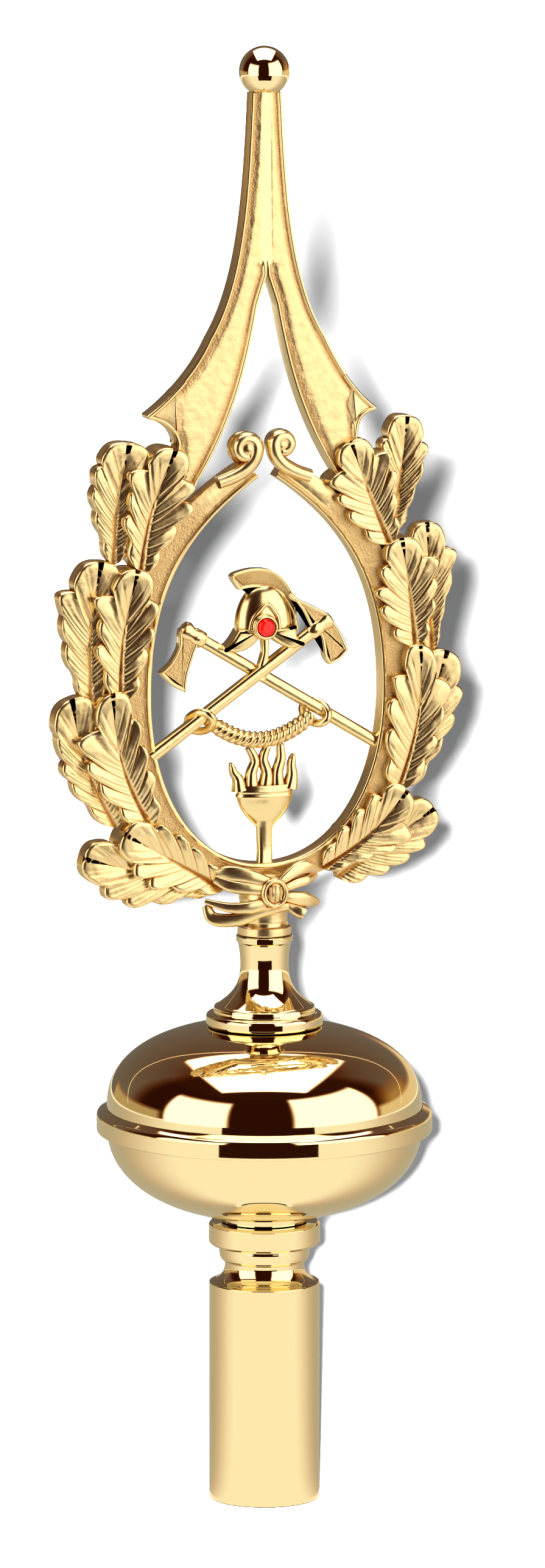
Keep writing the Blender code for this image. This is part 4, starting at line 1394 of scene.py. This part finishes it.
# Name of each length of ribbon, and its points beside the knot: x, forward depth, rise and half width.
BOW_STRANDS = (
    ("left_upper", (-2, 1.5, 3.5, 1.8), (-8, 1.0, 5.6, 2.4), (-14, -0.5, 6.6, 2.6), (-18, -2.5, 6.4, 1.6)),
    ("left_lower", (-2, 1.8, 1.0, 1.6), (-8, 1.4, 1.6, 2.0), (-14, 0.0, 2.6, 2.0), (-18.5, -2.5, 4.6, 1.4)),
    ("left_tail", (-3, 1.6, -3.5, 2), (-9, 1.4, -4.6, 2), (-15, -0.4, -4.4, 1.6), (-21.5, -3.6, -2.6, 0.9)),
    (
        "left_fold", (-21, -4.2, -4.0, 1.4), (-19, -2.6, -8.2, 2.2), (-12, -0.2, -8.6, 2.2),
        (-4, 1.0, -6.0, 1.9), (5, 1.0, -4.6, 1.4),
    ),
    ("right_upper", (2, 1.6, 3.2, 1.4), (8, 0.8, 7.0, 2.2), (12, -0.6, 7.4, 2.3), (15.6, -2.8, 5.8, 1.4)),
    ("right_lower", (3, 1.8, 1.0, 1.2), (8, 1.2, 2.6, 1.6), (12, -0.2, 3.4, 1.6), (15.4, -3.0, 4.6, 1.2)),
    ("right_tail", (3, 1.6, -1.4, 1.4), (8, 1.4, -2.2, 2.2), (12, 0.0, -3.4, 2.4), (16, -2.6, -4.6, 1.0)),
    ("right_roll", (4, 0.0, -4.0, 1.8), (7, 0.4, -5.6, 1.9), (9.4, 1.2, -7.0, 2.0), (10.4, 1.3, -7.6, 2.0)),
)


@dataclass
class Bow:
    """Knot, loops and tails of the ribbon tied round the foot."""

    height: float = 201.6
    front: float = -8.0
    knot: float = 4.7

    def strand(self, name: str, spots: list[tuple[float, float, float, float]], deep: float = 1.3) -> Object:
        """One length of ribbon.

        Args:
            name: Name of the piece.
            spots: Points beside the knot: x, forward depth, rise and half width.
            deep: Half thickness.

        Returns:
            The closed ribbon.
        """
        grid = np.array(rounded([(x, self.front - y, self.height + z, w) for x, y, z, w in spots], 8, False))
        return Bench.tube(name, grid[:, :3], grid[:, 3], deep, 20, 3.2)

    def build(self) -> list[Object]:
        """Models the bow.

        Returns:
            The overlapping pieces.
        """
        made = []
        for name, *spots in BOW_STRANDS:
            made.append(self.strand(f"bow_{name}", spots))
        centre = (0.0, self.front - 1.2, self.height)
        made.append(Bench.blob("bow_knot", centre, (self.knot, 2.9, self.knot + 0.5)))
        turn = np.linspace(0, TAU, 49)
        ring = np.stack(
            [3.7 * np.cos(turn), np.full(49, self.front - 3.1), self.height + 4.1 * np.sin(turn)], 1
        )
        made.append(Bench.tube("bow_knot_ring", ring, 0.95, 1.1, 14, ring=True))
        for index, x in enumerate((-1.75, 0.0, 1.75)):
            rise = 2.6 if index == 1 else 2.2
            path = [(x, self.front - 3.6, self.height + z) for z in np.linspace(-rise, rise, 9)]
            made.append(Bench.tube(f"bow_crease_{index + 1}", path, 0.5, 0.7, 12))
        return made


# Name, base, tip, reaches of the lobes left and right of the midrib, half width of the tip lobe, and bend.
BACK_LEAVES = (
    ("left_1", (-51.5, 309.5), (-46.5, 349.2), (4.0, 7.4, 9.4, 9.6), (4.5, 7.0, 7.5, 7.0), 8.0, -1.0),
    ("left_2", (-59.0, 264.0), (-56.0, 311.2), (5.0, 8.8, 10.4, 12.2), (5, 8, 8, 8), 7.8, -1.6),
    ("left_3", (-50.5, 224.0), (-66.0, 267.0), (5.0, 7.3, 8.3, 7.6), (5, 7, 7, 7), 7.4, -2.6),
    ("left_4", (-18.0, 202.0), (-62.3, 214.9), (4.0, 8.5, 11.8, 11.0), (4, 6, 7, 7), 7.2, 0.0),
    ("right_1", (42.5, 316.0), (47.4, 354.4), (5, 6, 7, 8.0), (4.5, 5.5, 7.5, 8.4), 6.2, 0.5),
    ("right_2", (56.5, 277.0), (54.2, 319.2), (4, 6, 6, 6), (3.0, 5.0, 8.0, 9.8), 6.0, 0.0),
    ("right_3", (47.0, 232.0), (61.2, 277.0), (5, 7, 7, 7), (5.5, 8.0, 10.0, 9.8), 7.0, 0.0),
    ("right_4", (24.0, 204.0), (57.2, 225.5), (4, 6, 6, 6.5), (6.0, 8.5, 9.5, 9.0), 6.5, 0.0),
)
FRONT_LEAVES = (
    ("left_1", (-43.0, 306.5), (-31.8, 347.0), (5.5, 8.8, 9.0, 11.4), (5.9, 9.8, 13.0, 11.3), 6.7, -1.9),
    ("left_2", (-49.8, 265.0), (-44.6, 308.5), (5.7, 9.2, 9.0, 12.2), (6.6, 8.8, 10.0, 10.0), 6.7, -1.7),
    ("left_3", (-39.5, 223.5), (-53.3, 268.7), (7.0, 10.0, 12.0, 13.4), (6.5, 9.0, 9.0, 8.5), 6.3, -3.2),
    ("left_4", (-15.0, 202.5), (-49.5, 222.8), (4.5, 8.0, 11.2, 10.5), (5.5, 7.5, 8.8, 8.8), 7.0, 0.0),
    ("right_1", (41.5, 312.5), (27.1, 347.1), (6.5, 9.6, 10.9, 11.2), (5.5, 8.0, 10.9, 10.9), 6.2, -0.3),
    ("right_2", (50.2, 278.5), (44.4, 314.8), (7.4, 10.7, 11.6, 9.0), (5.3, 8.0, 9.8, 11.0), 6.4, 0.6),
    ("right_3", (44.2, 231.5), (50.9, 279.9), (7.0, 9.8, 11.0, 9.7), (6.5, 8.0, 8.6, 10.5), 5.6, 3.2),
    ("right_4", (18.5, 207.5), (46.8, 232.5), (5.5, 8.0, 8.8, 8.6), (4.0, 6.5, 10.0, 11.5), 6.4, 2.4),
)


@dataclass
class Wreath:
    """The head casting: band, volutes, gable, leaves, foot and bow."""

    oval: Oval

    def leaves(self) -> list[OakLeaf]:
        """The sixteen leaves, each layer from the top of each side down."""
        made = []
        for layer, table in ((Layer.BACK, BACK_LEAVES), (Layer.FRONT, FRONT_LEAVES)):
            for name, *shape, bend in table:
                label = f"oak_leaf_{name}_{layer.value}"
                made.append(OakLeaf(label, *shape, layer, bend, seed=len(made) + 3))
        return made

    def dress(self, brass: Material) -> None:
        """Builds the casting and hands its pieces over.

        Args:
            brass: The cast brass.
        """
        band = OvalBand(self.oval).build()
        hand_over(band, "wreath_head", brass)
        for side, reach in ((Side.LEFT, 40.5), (Side.RIGHT, 37.0)):
            half = Bench.joined(f"gable_{side.name.lower()}_half", Gable(side, reach).build())
            hand_over(half, "wreath_head", brass)
        for volute in (Volute(Side.LEFT, (-7.2, 345.7), 5.9), Volute(Side.RIGHT, (4.9, 346.6), 5.4)):
            end = Bench.joined(f"volute_{volute.side.name.lower()}_end", volute.build())
            hand_over(end, "wreath_head", brass, 60)
        for leaf in self.leaves():
            hand_over(leaf.build(), "wreath_head", brass, 50)
        foot = Bench.joined("head_foot_with_bow", [HeadFoot().build(), *Bow().build()])
        hand_over(foot, "wreath_head", brass, 60)


# The emblem


@dataclass
class Axe:
    """A fireman's axe: haft, knob and blade."""

    name: str
    top: Point
    end: Point
    y: float
    blade: list[Point]
    half: float = 2.1

    def build(self) -> list[Object]:
        """Models the axe.

        Returns:
            The overlapping pieces.
        """
        top, end = np.array(self.top), np.array(self.end)
        along = (top - end) / np.linalg.norm(top - end)
        path = np.array([(x, self.y, z) for x, z in (end, end + along, (top + end) / 2, top - along, top)])
        haft = Bench.tube(f"{self.name}_haft", path, self.half, self.half, 24, 3.0)
        spots = [top + along * step for step in (-6.4, -5.6, -2.6, -1.4, 0.6, 2.0, 2.6)]
        knob = Bench.tube(
            f"{self.name}_knob",
            np.array([(x, self.y, z) for x, z in spots]),
            np.array([2.1, 2.8, 2.8, 2.3, 3.1, 2.7, 1.7]),
            np.array([2.1, 2.6, 2.6, 2.2, 2.7, 2.4, 1.5]),
            24,
            2.6,
        )
        outline = rounded([(self.top[0] + x, self.top[1] + z) for x, z in self.blade], 4)
        front = self.y - 2.1
        blade = Bench.plate(f"{self.name}_blade", outline, edged(front, self.y + 1.9, 0.45, 0.95, 0.45))
        return [haft, knob, blade]


@dataclass
class Rope:
    """The rope hung between the hafts, with a loop round each."""

    left: Point = (-20.0, 258.1)
    right: Point = (15.5, 258.1)
    sag: float = 7.5
    radius: float = 2.75
    loop_radius: float = 1.35
    steps: int = 240

    def build(self) -> list[Object]:
        """Models the laid rope and its two loops.

        Returns:
            The overlapping pieces.
        """
        middle = (self.left[0] + self.right[0]) / 2
        half = (self.right[0] - self.left[0]) / 2
        xs = np.linspace(self.left[0], self.right[0], self.steps)
        hang = self.left[1] - self.sag * (1 - ((xs - middle) / half) ** 2)
        path = np.stack([xs, np.full(self.steps, -2.2), hang], 1)
        share = np.linspace(0, 1, self.steps)
        wide = self.radius * np.interp(share, [0, 0.12, 0.88, 1], [0.8, 1, 1, 0.8])
        made = [Bench.tube("rope_laid", path, wide, wide, 40, 2.0, 3, 0.15)]
        turn = np.linspace(0, TAU, 61)
        loops = (("left", -22.2, -1.6, 257.3, 35.0), ("right", 17.6, 0.9, 258.2, -31.0))
        for name, x, depth, z, front in loops:
            lean = np.cos(turn - math.radians(front))
            ring = np.stack([x + 3.3 * np.cos(turn), depth - 3.8 * lean, z + 3.4 * np.sin(turn)], 1)
            thick = self.loop_radius
            made.append(Bench.tube(f"rope_loop_{name}", ring, thick, thick, 24, ring=True))
        return made


@dataclass
class Helmet:
    """The fireman's helmet: skull, comb, peak, neck guard and the rosette that holds the stone."""

    base: float = 287.58
    stone: Point = (-1.3, 287.68)
    skull: tuple[float, float, float] = (9.9, 5.2, 14.0)

    def place(self, points: list[Point]) -> list[Point]:
        """Moves drawn points up to the helmet."""
        return [(x, self.base + z) for x, z in points]

    def build(self) -> list[Object]:
        """Models the helmet.

        Returns:
            The overlapping pieces.
        """
        made = []
        skull = Bench.blob("helmet_skull", (-0.2, 0.0, self.base), self.skull)
        Bench.edit(skull)
        bpy.ops.mesh.bisect(
            plane_co=(0, 0, (self.base - 1.6) * MM), plane_no=(0, 0, 1), use_fill=True, clear_inner=True
        )
        Bench.leave()
        made.append(skull)
        comb = [
            (-9.2, 12.0), (-9.2, 12.0), (-11.6, 15.6), (-11.2, 17.2), (-8.0, 18.3), (-3.5, 18.9),
            (1.5, 18.2)
        ]
        comb += [
            (5.5, 15.6), (8.6, 11.4), (10.6, 6.4), (10.6, 6.4), (10.2, -2.0), (10.2, -2.0), (8.4, 5.0),
            (4.0, 10.5), (-3.0, 12.6)
        ]
        made.append(
            Bench.plate("helmet_comb", rounded(self.place(comb), 5), edged(-2.2, 2.0, 0.4, 0.85, 0.45))
        )
        peak = [
            (-9.8, -0.6), (-9.8, -0.6), (-12.0, -4.0), (-15.0, -7.2), (-15.0, -7.2), (-10.5, -8.0),
            (-6.0, -6.6), (-2.2, -3.0), (-1.5, -0.8), (-1.5, -0.8)
        ]
        made.append(Bench.plate("helmet_peak", rounded(self.place(peak), 5), edged(-4.4, 3.4, 1.2)))
        guard = [
            (9.6, 0.2), (9.6, 0.2), (10.0, -3.6), (12.4, -6.2), (12.4, -6.2), (8.4, -7.6), (4.2, -6.0),
            (0.8, -3.2), (1.0, -1.2), (1.0, -1.2)
        ]
        made.append(Bench.plate("helmet_guard", rounded(self.place(guard), 5), edged(-4.4, 3.4, 1.2)))
        band = []
        for x in np.linspace(-10.0, 10.0, 31):
            band.append((x, -5.4 * math.sqrt(max(1 - (x / 10.4) ** 2, 0)), self.base - 1.1))
        made.append(Bench.tube("helmet_band", band, 0.5, 0.5, 12))
        arch = rounded(
            [(-6.2, -1.0), (-5.2, 3.0), (-2.0, 6.6), (-0.6, 7.4), (0.8, 6.4), (3.0, 3.0), (3.4, -1.0)], 6,
            False
        )
        path = []
        for x, z in arch:
            swell = 1 - (x / self.skull[0]) ** 2 - (max(z, 0) / self.skull[2]) ** 2
            path.append((x, -self.skull[1] * math.sqrt(max(swell, 0.05)) - 0.15, self.base + z))
        made.append(Bench.tube("helmet_arch", path, 0.7, 0.6, 12))
        x, z = self.stone
        made.append(Bench.blob("helmet_boss", (x, -4.6, z), (4.3, 1.6, 4.3)))
        turn = np.linspace(0, TAU, 49)
        ring = np.stack([x + 3.45 * np.cos(turn), np.full(49, -5.95), z + 3.45 * np.sin(turn)], 1)
        made.append(Bench.tube("helmet_rosette", ring, 0.6, 0.65, 14, ring=True))
        stem = rounded([(-0.6, -3.0), (-0.4, -7.0), (-0.8, -11.0), (-2.2, -17.5)], 8, False)
        grid = np.array([(x, -1.4, self.base + z) for x, z in stem])
        wide = np.interp(np.linspace(0, 1, len(grid)), [0, 0.5, 1], [1.5, 1.2, 2.2])
        made.append(Bench.tube("helmet_stem", grid, wide, 2.0, 24, 3.0))
        return made


@dataclass
class Torch:
    """Stem, cup and five flames."""

    foot: float = 209.4
    base: float = 222.4
    lip: float = 235.6
    radius: float = 10.0
    depth: float = 4.0

    def build(self) -> list[Object]:
        """Models the torch.

        Returns:
            The overlapping pieces.
        """
        profile = [(0, self.base - 1.2), (2.9, self.base - 0.6)]
        b = self.base
        profile += swept([(3.0, b - 0.4), (6.4, b + 2.6), (8.6, b + 5.4), (9.3, self.lip - 4.6)], 14)
        for z in (self.lip - 4.2, self.lip - 2.6):
            profile += [(9.45, z), (9.75, z + 0.35), (9.85, z + 0.8), (9.65, z + 1.15)]
        profile += [(self.radius, self.lip - 0.5), (self.radius - 0.2, self.lip), (0, self.lip + 0.4)]
        cup = Bench.turned("torch_cup", profile, 96)
        Bench.edit(cup)
        bpy.ops.transform.resize(value=(1, self.depth / self.radius, 1), center_override=(0, 0, 0))
        Bench.leave()
        stem_path = np.array(
            [(0, 0, z) for z in (self.foot, self.foot + 1.2, 215.0, self.base - 1.0, self.base + 1.5)]
        )
        stem = Bench.tube(
            "torch_stem", stem_path, np.array([3.2, 2.6, 2.5, 2.7, 3.6]),
            np.array([2.2, 1.8, 1.8, 1.8, 2.0]), 24, 3.0
        )
        made = [cup, stem]
        flames = (
            [(-8.6, -1.5), (-9.2, 2.2), (-10.6, 4.4), (-11.6, 7.6)],
            [(-4.6, -1.5), (-4.6, 3.6), (-3.4, 8.0), (-5.4, 12.4)],
            [(0.0, -1.5), (0.6, 3.8), (-0.6, 8.4), (0.8, 12.4)],
            [(4.4, -1.5), (4.2, 3.6), (5.4, 8.4), (5.2, 13.0)],
            [(8.4, -1.5), (9.2, 2.6), (9.0, 6.4), (9.8, 9.6)],
        )
        for index, points in enumerate(flames):
            outer = index in (0, 4)
            line = np.array(rounded([(x, self.lip + z) for x, z in points], 10, False))
            path = np.stack([line[:, 0], np.full(len(line), -0.4), line[:, 1]], 1)
            share = np.linspace(0, 1, len(line))
            wide = np.interp(
                share, [0, 0.35, 0.8, 1], [2.7, 1.9, 1.25, 0.5] if outer else [2.7, 1.9, 1.5, 1.3]
            )
            made.append(Bench.tube(f"torch_flame_{index + 1}", path, wide, wide * 0.95 + 0.35, 20, 2.3))
        return made


@dataclass
class Emblem:
    """The soldered-in casting inside the oval."""

    waist: float = 266.08
    half_width: float = 39.0
    stone_radius: float = 2.85
    stone_front: float = -7.55

    def dress(self, brass: Material, glass: Material) -> None:
        """Builds the emblem and its stone, and hands them over.

        Args:
            brass: The finely cast brass.
            glass: The red glass.
        """
        w = self.waist
        left_blade = [
            (-2.6, 1.4), (0.4, 0.6), (3.4, -2.2), (1.8, -6.5), (-0.6, -14), (-1.2, -19.4), (-1.2, -19.4)
        ]
        left_blade += [
            (-5.6, -17.2), (-10.0, -12.8), (-10.0, -12.8), (-6.2, -9.4), (-3.6, -4.6), (-3.4, -1.0)
        ]
        right_blade = [
            (-0.3, 3.4), (-7, 6.9), (-12.3, 9.6), (-12.3, 9.6), (-8.2, 4.5), (-5.0, -1.6), (-2.0, -3.9),
            (-1.1, -7.6), (-0.4, -11.5)
        ]
        right_blade += [
            (1.3, -13.9), (1.3, -13.9), (4.8, -12.2), (7.6, -9.2), (7.6, -9.2), (5.0, -3.4), (2.4, 0.6)
        ]
        axes = [
            Axe("left_axe", (-25.6, w + 20.3), (self.half_width, w - 19.0), 0.9, left_blade),
            Axe("right_axe", (19.8, w + 21.9), (-self.half_width, w - 19.5), -1.6, right_blade),
        ]
        for axe in axes:
            hand_over(Bench.joined(axe.name, axe.build()), "emblem", brass)
        hand_over(Bench.joined("rope_with_loops", Rope().build()), "emblem", brass, 80)
        helmet = Helmet()
        hand_over(Bench.joined("helmet", helmet.build()), "emblem", brass, 50)
        hand_over(Bench.joined("torch", Torch().build()), "emblem", brass, 50)
        self.stone(helmet, glass)

    def stone(self, helmet: Helmet, glass: Material) -> None:
        """Cuts the round stone, with a table and a ring of facets.

        Args:
            helmet: The helmet whose rosette holds it.
            glass: What it is cut from.
        """
        bpy.ops.object.select_all(action="DESELECT")
        bpy.ops.mesh.primitive_cylinder_add(vertices=16, radius=self.stone_radius * MM, depth=1.0 * MM)
        obj = Bench.made("red_stone_cut")
        Bench.edit(obj)
        bpy.ops.mesh.select_all(action="DESELECT")
        Bench.leave()
        for face in obj.data.polygons:
            face.select = face.normal.z > 0.9
        bpy.ops.object.mode_set(mode="EDIT")
        bpy.ops.mesh.inset(thickness=0.6 * MM, depth=0.45 * MM)
        bpy.ops.mesh.inset(thickness=0.7 * MM, depth=0.3 * MM)
        bpy.ops.mesh.select_all(action="SELECT")
        bpy.ops.transform.rotate(value=-math.pi / 2, orient_axis="X", center_override=(0, 0, 0))
        Bench.leave()
        lowest = min(v.co.y for v in obj.data.vertices)
        x, z = helmet.stone
        Bench.edit(obj)
        bpy.ops.transform.translate(value=(x * MM, self.stone_front * MM - lowest, z * MM))
        Bench.leave()
        Bench.soften(obj, 0.06, 1, 15)
        hand_over(obj, "red_stone", glass, 5)


# The studio


@dataclass
class Studio:
    """Floor, lights, cards and camera."""

    camera_place: tuple[float, float, float] = (-1.09815, -3.37976, 0.81122)
    lens: float = 255.6
    yaw: float = 18.0
    elevation: float = 9.2
    shadow_offset: Point = (0.036, 0.012)
    shadow_softness: float = 0.026
    shadow_power: float = 80.0
    box_glow: float = 2.4
    card_glow: float = 1.5
    table_glow: float = 0.9
    sky_glow: float = 0.17
    top_power: float = 9.0
    lens_shift: float = 0.00524
    aim: float = 0.25
    box_height: float = 1.65
    arch_radius: float = 2.1
    arch_base: float = 0.15
    dark: str = "34170A"

    def camera(self) -> None:
        """Sets up the camera at the photograph's angle."""
        data = bpy.data.cameras.new("camera")
        data.sensor_fit = "VERTICAL"
        data.sensor_height = 36.0
        data.lens = self.lens
        data.shift_x = self.lens_shift
        data.clip_end = 100.0
        obj = bpy.data.objects.new("camera", data)
        obj.location = self.camera_place
        obj.rotation_euler = (math.radians(90 - self.elevation), 0.0, math.radians(-self.yaw))
        bpy.context.scene.collection.objects.link(obj)
        bpy.context.scene.camera = obj

    def around(self, azimuth: float, elevation: float, distance: float) -> tuple[float, float, float]:
        """A place round the middle of the part; azimuth 0 is at the camera and grows to the right."""
        turn, rise = math.radians(azimuth - self.yaw), math.radians(elevation)
        flat = distance * math.cos(rise)
        return (flat * math.sin(turn), -flat * math.cos(turn), self.aim + distance * math.sin(rise))

    def lamp(
        self, name: str, azimuth: float, elevation: float, distance: float, size: Point, power: float
    ) -> Object:
        """A rectangular soft light that faces the middle of the part.

        Args:
            name: Name of the light.
            azimuth: Degrees to the right of the camera.
            elevation: Degrees above the middle of the part.
            distance: Metres from it.
            size: Width and height in metres.
            power: Radiant power in watts.

        Returns:
            The light.
        """
        data = bpy.data.lights.new(name, "AREA")
        data.shape = "RECTANGLE"
        data.size, data.size_y = size
        data.energy = power
        obj = bpy.data.objects.new(name, data)
        obj.location = self.around(azimuth, elevation, distance)
        toward = np.array((0, 0, self.aim)) - np.array(obj.location)
        level = math.hypot(toward[0], toward[1])
        obj.rotation_euler = (
            math.pi / 2 + math.atan2(toward[2], level), 0, math.atan2(-toward[0], toward[1])
        )
        obj.visible_camera = False
        bpy.context.scene.collection.objects.link(obj)
        return obj

    def shadow_lamp(self) -> None:
        """A small round light beside the camera, even at any distance, that casts the shadow to the right."""
        data = bpy.data.lights.new("shadow_lamp", "POINT")
        data.shadow_soft_size = self.shadow_softness
        data.use_nodes = True
        tree = data.node_tree
        even = add_node(tree, "ShaderNodeLightFalloff", {"Strength": self.shadow_power})
        tree.links.new(even.outputs["Constant"], tree.nodes["Emission"].inputs["Strength"])
        obj = bpy.data.objects.new("shadow_lamp", data)
        turn = math.radians(self.yaw)
        aside, above = self.shadow_offset
        x, y, z = self.camera_place
        obj.location = (x - aside * math.cos(turn), y + aside * math.sin(turn), z + above)
        obj.visible_glossy = False
        obj.visible_camera = False
        bpy.context.scene.collection.objects.link(obj)

    def glow(self, name: str, places: np.ndarray, shares: np.ndarray, colour: str, strength: float) -> None:
        """A shining sheet that only reflections see.

        Args:
            name: Name of the sheet.
            places: Rows and columns of places in metres: to the right of the camera's line, towards the
                camera, and up.
            shares: How solid the sheet is at each place; it fades out through amber.
            colour: sRGB hex colour.
            strength: Its brightness.
        """
        turn = math.radians(self.yaw)
        right, near, up = places[..., 0], places[..., 1], places[..., 2]
        x = right * math.cos(turn) - near * math.sin(turn)
        y = -right * math.sin(turn) - near * math.cos(turn)
        world = np.stack([x, y, up], -1)
        obj = Bench.sheet(name, world / MM, shares, "glow")
        made = bpy.data.materials.new(name)
        made.use_nodes = True
        tree = made.node_tree
        tree.nodes.remove(tree.nodes["Principled BSDF"])
        share = add_node(tree, "ShaderNodeAttribute", attribute_name="glow").outputs["Fac"]
        tones = {"A": linear("C0600A"), "B": linear(colour)}
        tone = add_node(tree, "ShaderNodeMix", tones, {"Factor": share}, data_type="RGBA")
        colours = {"Color": tone.outputs["Result"]}
        light = add_node(tree, "ShaderNodeEmission", {"Strength": strength}, colours)
        clear = add_node(tree, "ShaderNodeBsdfTransparent")
        ends = {0: share, 1: clear.outputs[0], 2: light.outputs[0]}
        mixed = add_node(tree, "ShaderNodeMixShader", links=ends)
        tree.links.new(mixed.outputs[0], tree.nodes["Material Output"].inputs["Surface"])
        obj.data.materials.append(made)
        for part in ("visible_camera", "visible_diffuse", "visible_shadow"):
            setattr(obj, part, False)

    def card(
        self, name: str, azimuths: Point, rows: list[tuple[float, float, float]], colour: str,
        strength: float, fade: float = 0.0
    ) -> None:
        """A card that stands or lies in an arc round the part.

        Args:
            name: Name of the card.
            azimuths: First and last degrees to the right of the camera.
            rows: Distance from the axis and height in metres, and how solid the card is, in each row.
            colour: sRGB hex colour.
            strength: Its brightness.
            fade: Degrees over which its sides fade out.
        """
        turns = np.linspace(*azimuths, 121)
        ease = np.ones(len(turns))
        if fade:
            ease = smooth_step(azimuths[0], azimuths[0] + fade, turns)
            ease = ease * smooth_step(azimuths[1], azimuths[1] - fade, turns)
        angle = np.radians(turns)
        places = [
            np.stack([d * np.sin(angle), d * np.cos(angle), np.full(len(turns), h)], 1) for d, h, _ in rows
        ]
        self.glow(name, np.array(places), np.array([share * ease for _, _, share in rows]), colour, strength)

    def overhead(self) -> None:
        """The big soft box above the part, from a little in front of it to well behind it."""
        across = np.array([-0.78, -0.70, -0.35, 0.0, 0.35, 0.70, 0.78])
        along = np.array([0.76, 0.68, 0.2, -0.5, -1.15, -1.25])
        places = np.array([[(x, y, self.box_height) for x in across] for y in along])
        side = np.array([0.0, 1, 1, 1, 1, 1, 0.0])
        shares = np.array([side * s for s in (0.0, 1, 1, 1, 1, 0.0)])
        self.glow("soft_box", places, shares, "FFFDF2", self.box_glow)

    def arch(self) -> None:
        """The thin bright rim of the backdrop, an arch behind the part."""
        turns = np.radians([118, 123, 130, 139, 150, 164, 180, 196, 210, 221, 230, 237, 242])
        rises = np.radians([0, 9, 17, 26, 36, 45, 49, 45, 36, 26, 17, 9, 0])
        rows = []
        for step in np.radians([0.0, 0.7, 1.4]):
            level = self.arch_radius * np.cos(rises + step)
            up = self.arch_base + self.arch_radius * np.sin(rises + step)
            rows.append(np.stack([level * np.sin(turns), level * np.cos(turns), up], 1))
        shares = np.array([np.full(len(turns), share) for share in (0.1, 1.0, 0.1)])
        self.glow("backdrop_rim", np.array(rows), shares, "FFF2D0", 1.6)

    def floor(self) -> None:
        """Lays a plain pale floor."""
        bpy.ops.object.select_all(action="DESELECT")
        bpy.ops.mesh.primitive_plane_add(size=80)
        obj = bpy.context.active_object
        obj.name = "floor"
        obj.location.z = -0.0002
        obj.visible_glossy = False
        made = bpy.data.materials.new("matt_white_board")
        made.use_nodes = True
        shader = made.node_tree.nodes["Principled BSDF"]
        shader.inputs["Base Color"].default_value = linear("F7F7F7")
        shader.inputs["Roughness"].default_value = 0.9
        shader.inputs["Specular IOR Level"].default_value = 0.0
        obj.data.materials.append(made)

    def build(self) -> None:
        """Sets up the whole studio."""
        scene = bpy.context.scene
        self.camera()
        self.floor()
        world = bpy.data.worlds.new("studio")
        scene.world = world
        world.use_nodes = True
        world.node_tree.nodes["Background"].inputs["Color"].default_value = linear("FFFFFF")
        world.node_tree.nodes["Background"].inputs["Strength"].default_value = self.sky_glow
        world.cycles_visibility.glossy = False
        self.shadow_lamp()
        lamp = self.lamp("top_box", 0, 47, 1.5, (1.5, 1.2), self.top_power)
        lamp.visible_glossy = False
        self.overhead()
        self.arch()
        card = self.card_glow
        self.card("left_card", (-80, -24), [(1.6, 0.0, 1), (1.6, 1.25, 1), (1.6, 1.5, 0)], "FFFBEE", card, 5)
        self.card("right_card", (19, 92), [(1.6, 0.0, 1), (1.6, 1.7, 1), (1.6, 1.95, 0)], "FFFBEE", card, 5)
        self.card("table_near", (-180, 180), [(0.02, -0.002, 1), (0.6, -0.002, 1)], "FFFAEC", self.table_glow)
        self.card("table_far", (36, 330), [(0.6, -0.002, 1), (2.56, -0.002, 1)], "FFFAEC", self.table_glow)
        self.card("table_behind", (60, 300), [(0.025, -0.001, 1), (1.58, -0.001, 1)], "DDD6C4", 0.62, 80)
        self.card("right_fill", (88, 175), [(2.2, 0.0, 1), (2.2, 0.38, 1), (2.2, 0.6, 0)], "F0DCB4", 0.8, 8)
        self.card("left_fill", (-150, -78), [(2.2, 0.0, 1), (2.2, 0.3, 1), (2.2, 0.5, 0)], "E8CFA0", 0.55, 8)
        self.card(
            "right_glow", (88, 150), [(2.25, 0.0, 1), (2.25, 0.7, 1), (2.25, 1.5, 0)], "D8B070", 0.55, 26
        )
        sweep = [(2.3, 0.0, 1), (2.3, 0.5, 0.95), (2.3, 1.5, 0.8), (2.3, 2.8, 0.6), (1.0, 2.9, 0.0)]
        self.card("back_sweep", (96, 262), sweep, "A8A098", 0.42, 24)
        self.card("dark_wall", (-180, 180), [(2.6, -0.01, 1), (2.6, 3.0, 1)], self.dark, 1.0)
        self.card("dark_floor", (-180, 180), [(0.01, -0.01, 1), (2.6, -0.01, 1)], self.dark, 1.0)
        self.card("dark_ceiling", (-180, 180), [(2.6, 3.0, 1), (0.01, 3.0, 1)], self.dark, 1.2)
        scene.view_settings.view_transform = "Standard"
        scene.view_settings.look = "Medium High Contrast"


def main() -> None:
    """Builds the studio and every piece in order."""
    logging.basicConfig(level=logging.INFO, format="%(message)s")
    spun = SPUN_BRASS.material()
    cast = CAST_BRASS.material()
    fine = FINE_CAST_BRASS.material()
    glass = CutGlass().material()
    Studio().build()
    PoleSocket().dress(spun)
    ball = Ball()
    ball.dress(spun)
    Spindle().dress(ball, spun)
    TopBall().dress(spun)
    Wreath(Oval()).dress(cast)
    Emblem().dress(fine, glass)


if __name__ == "__main__":
    main()
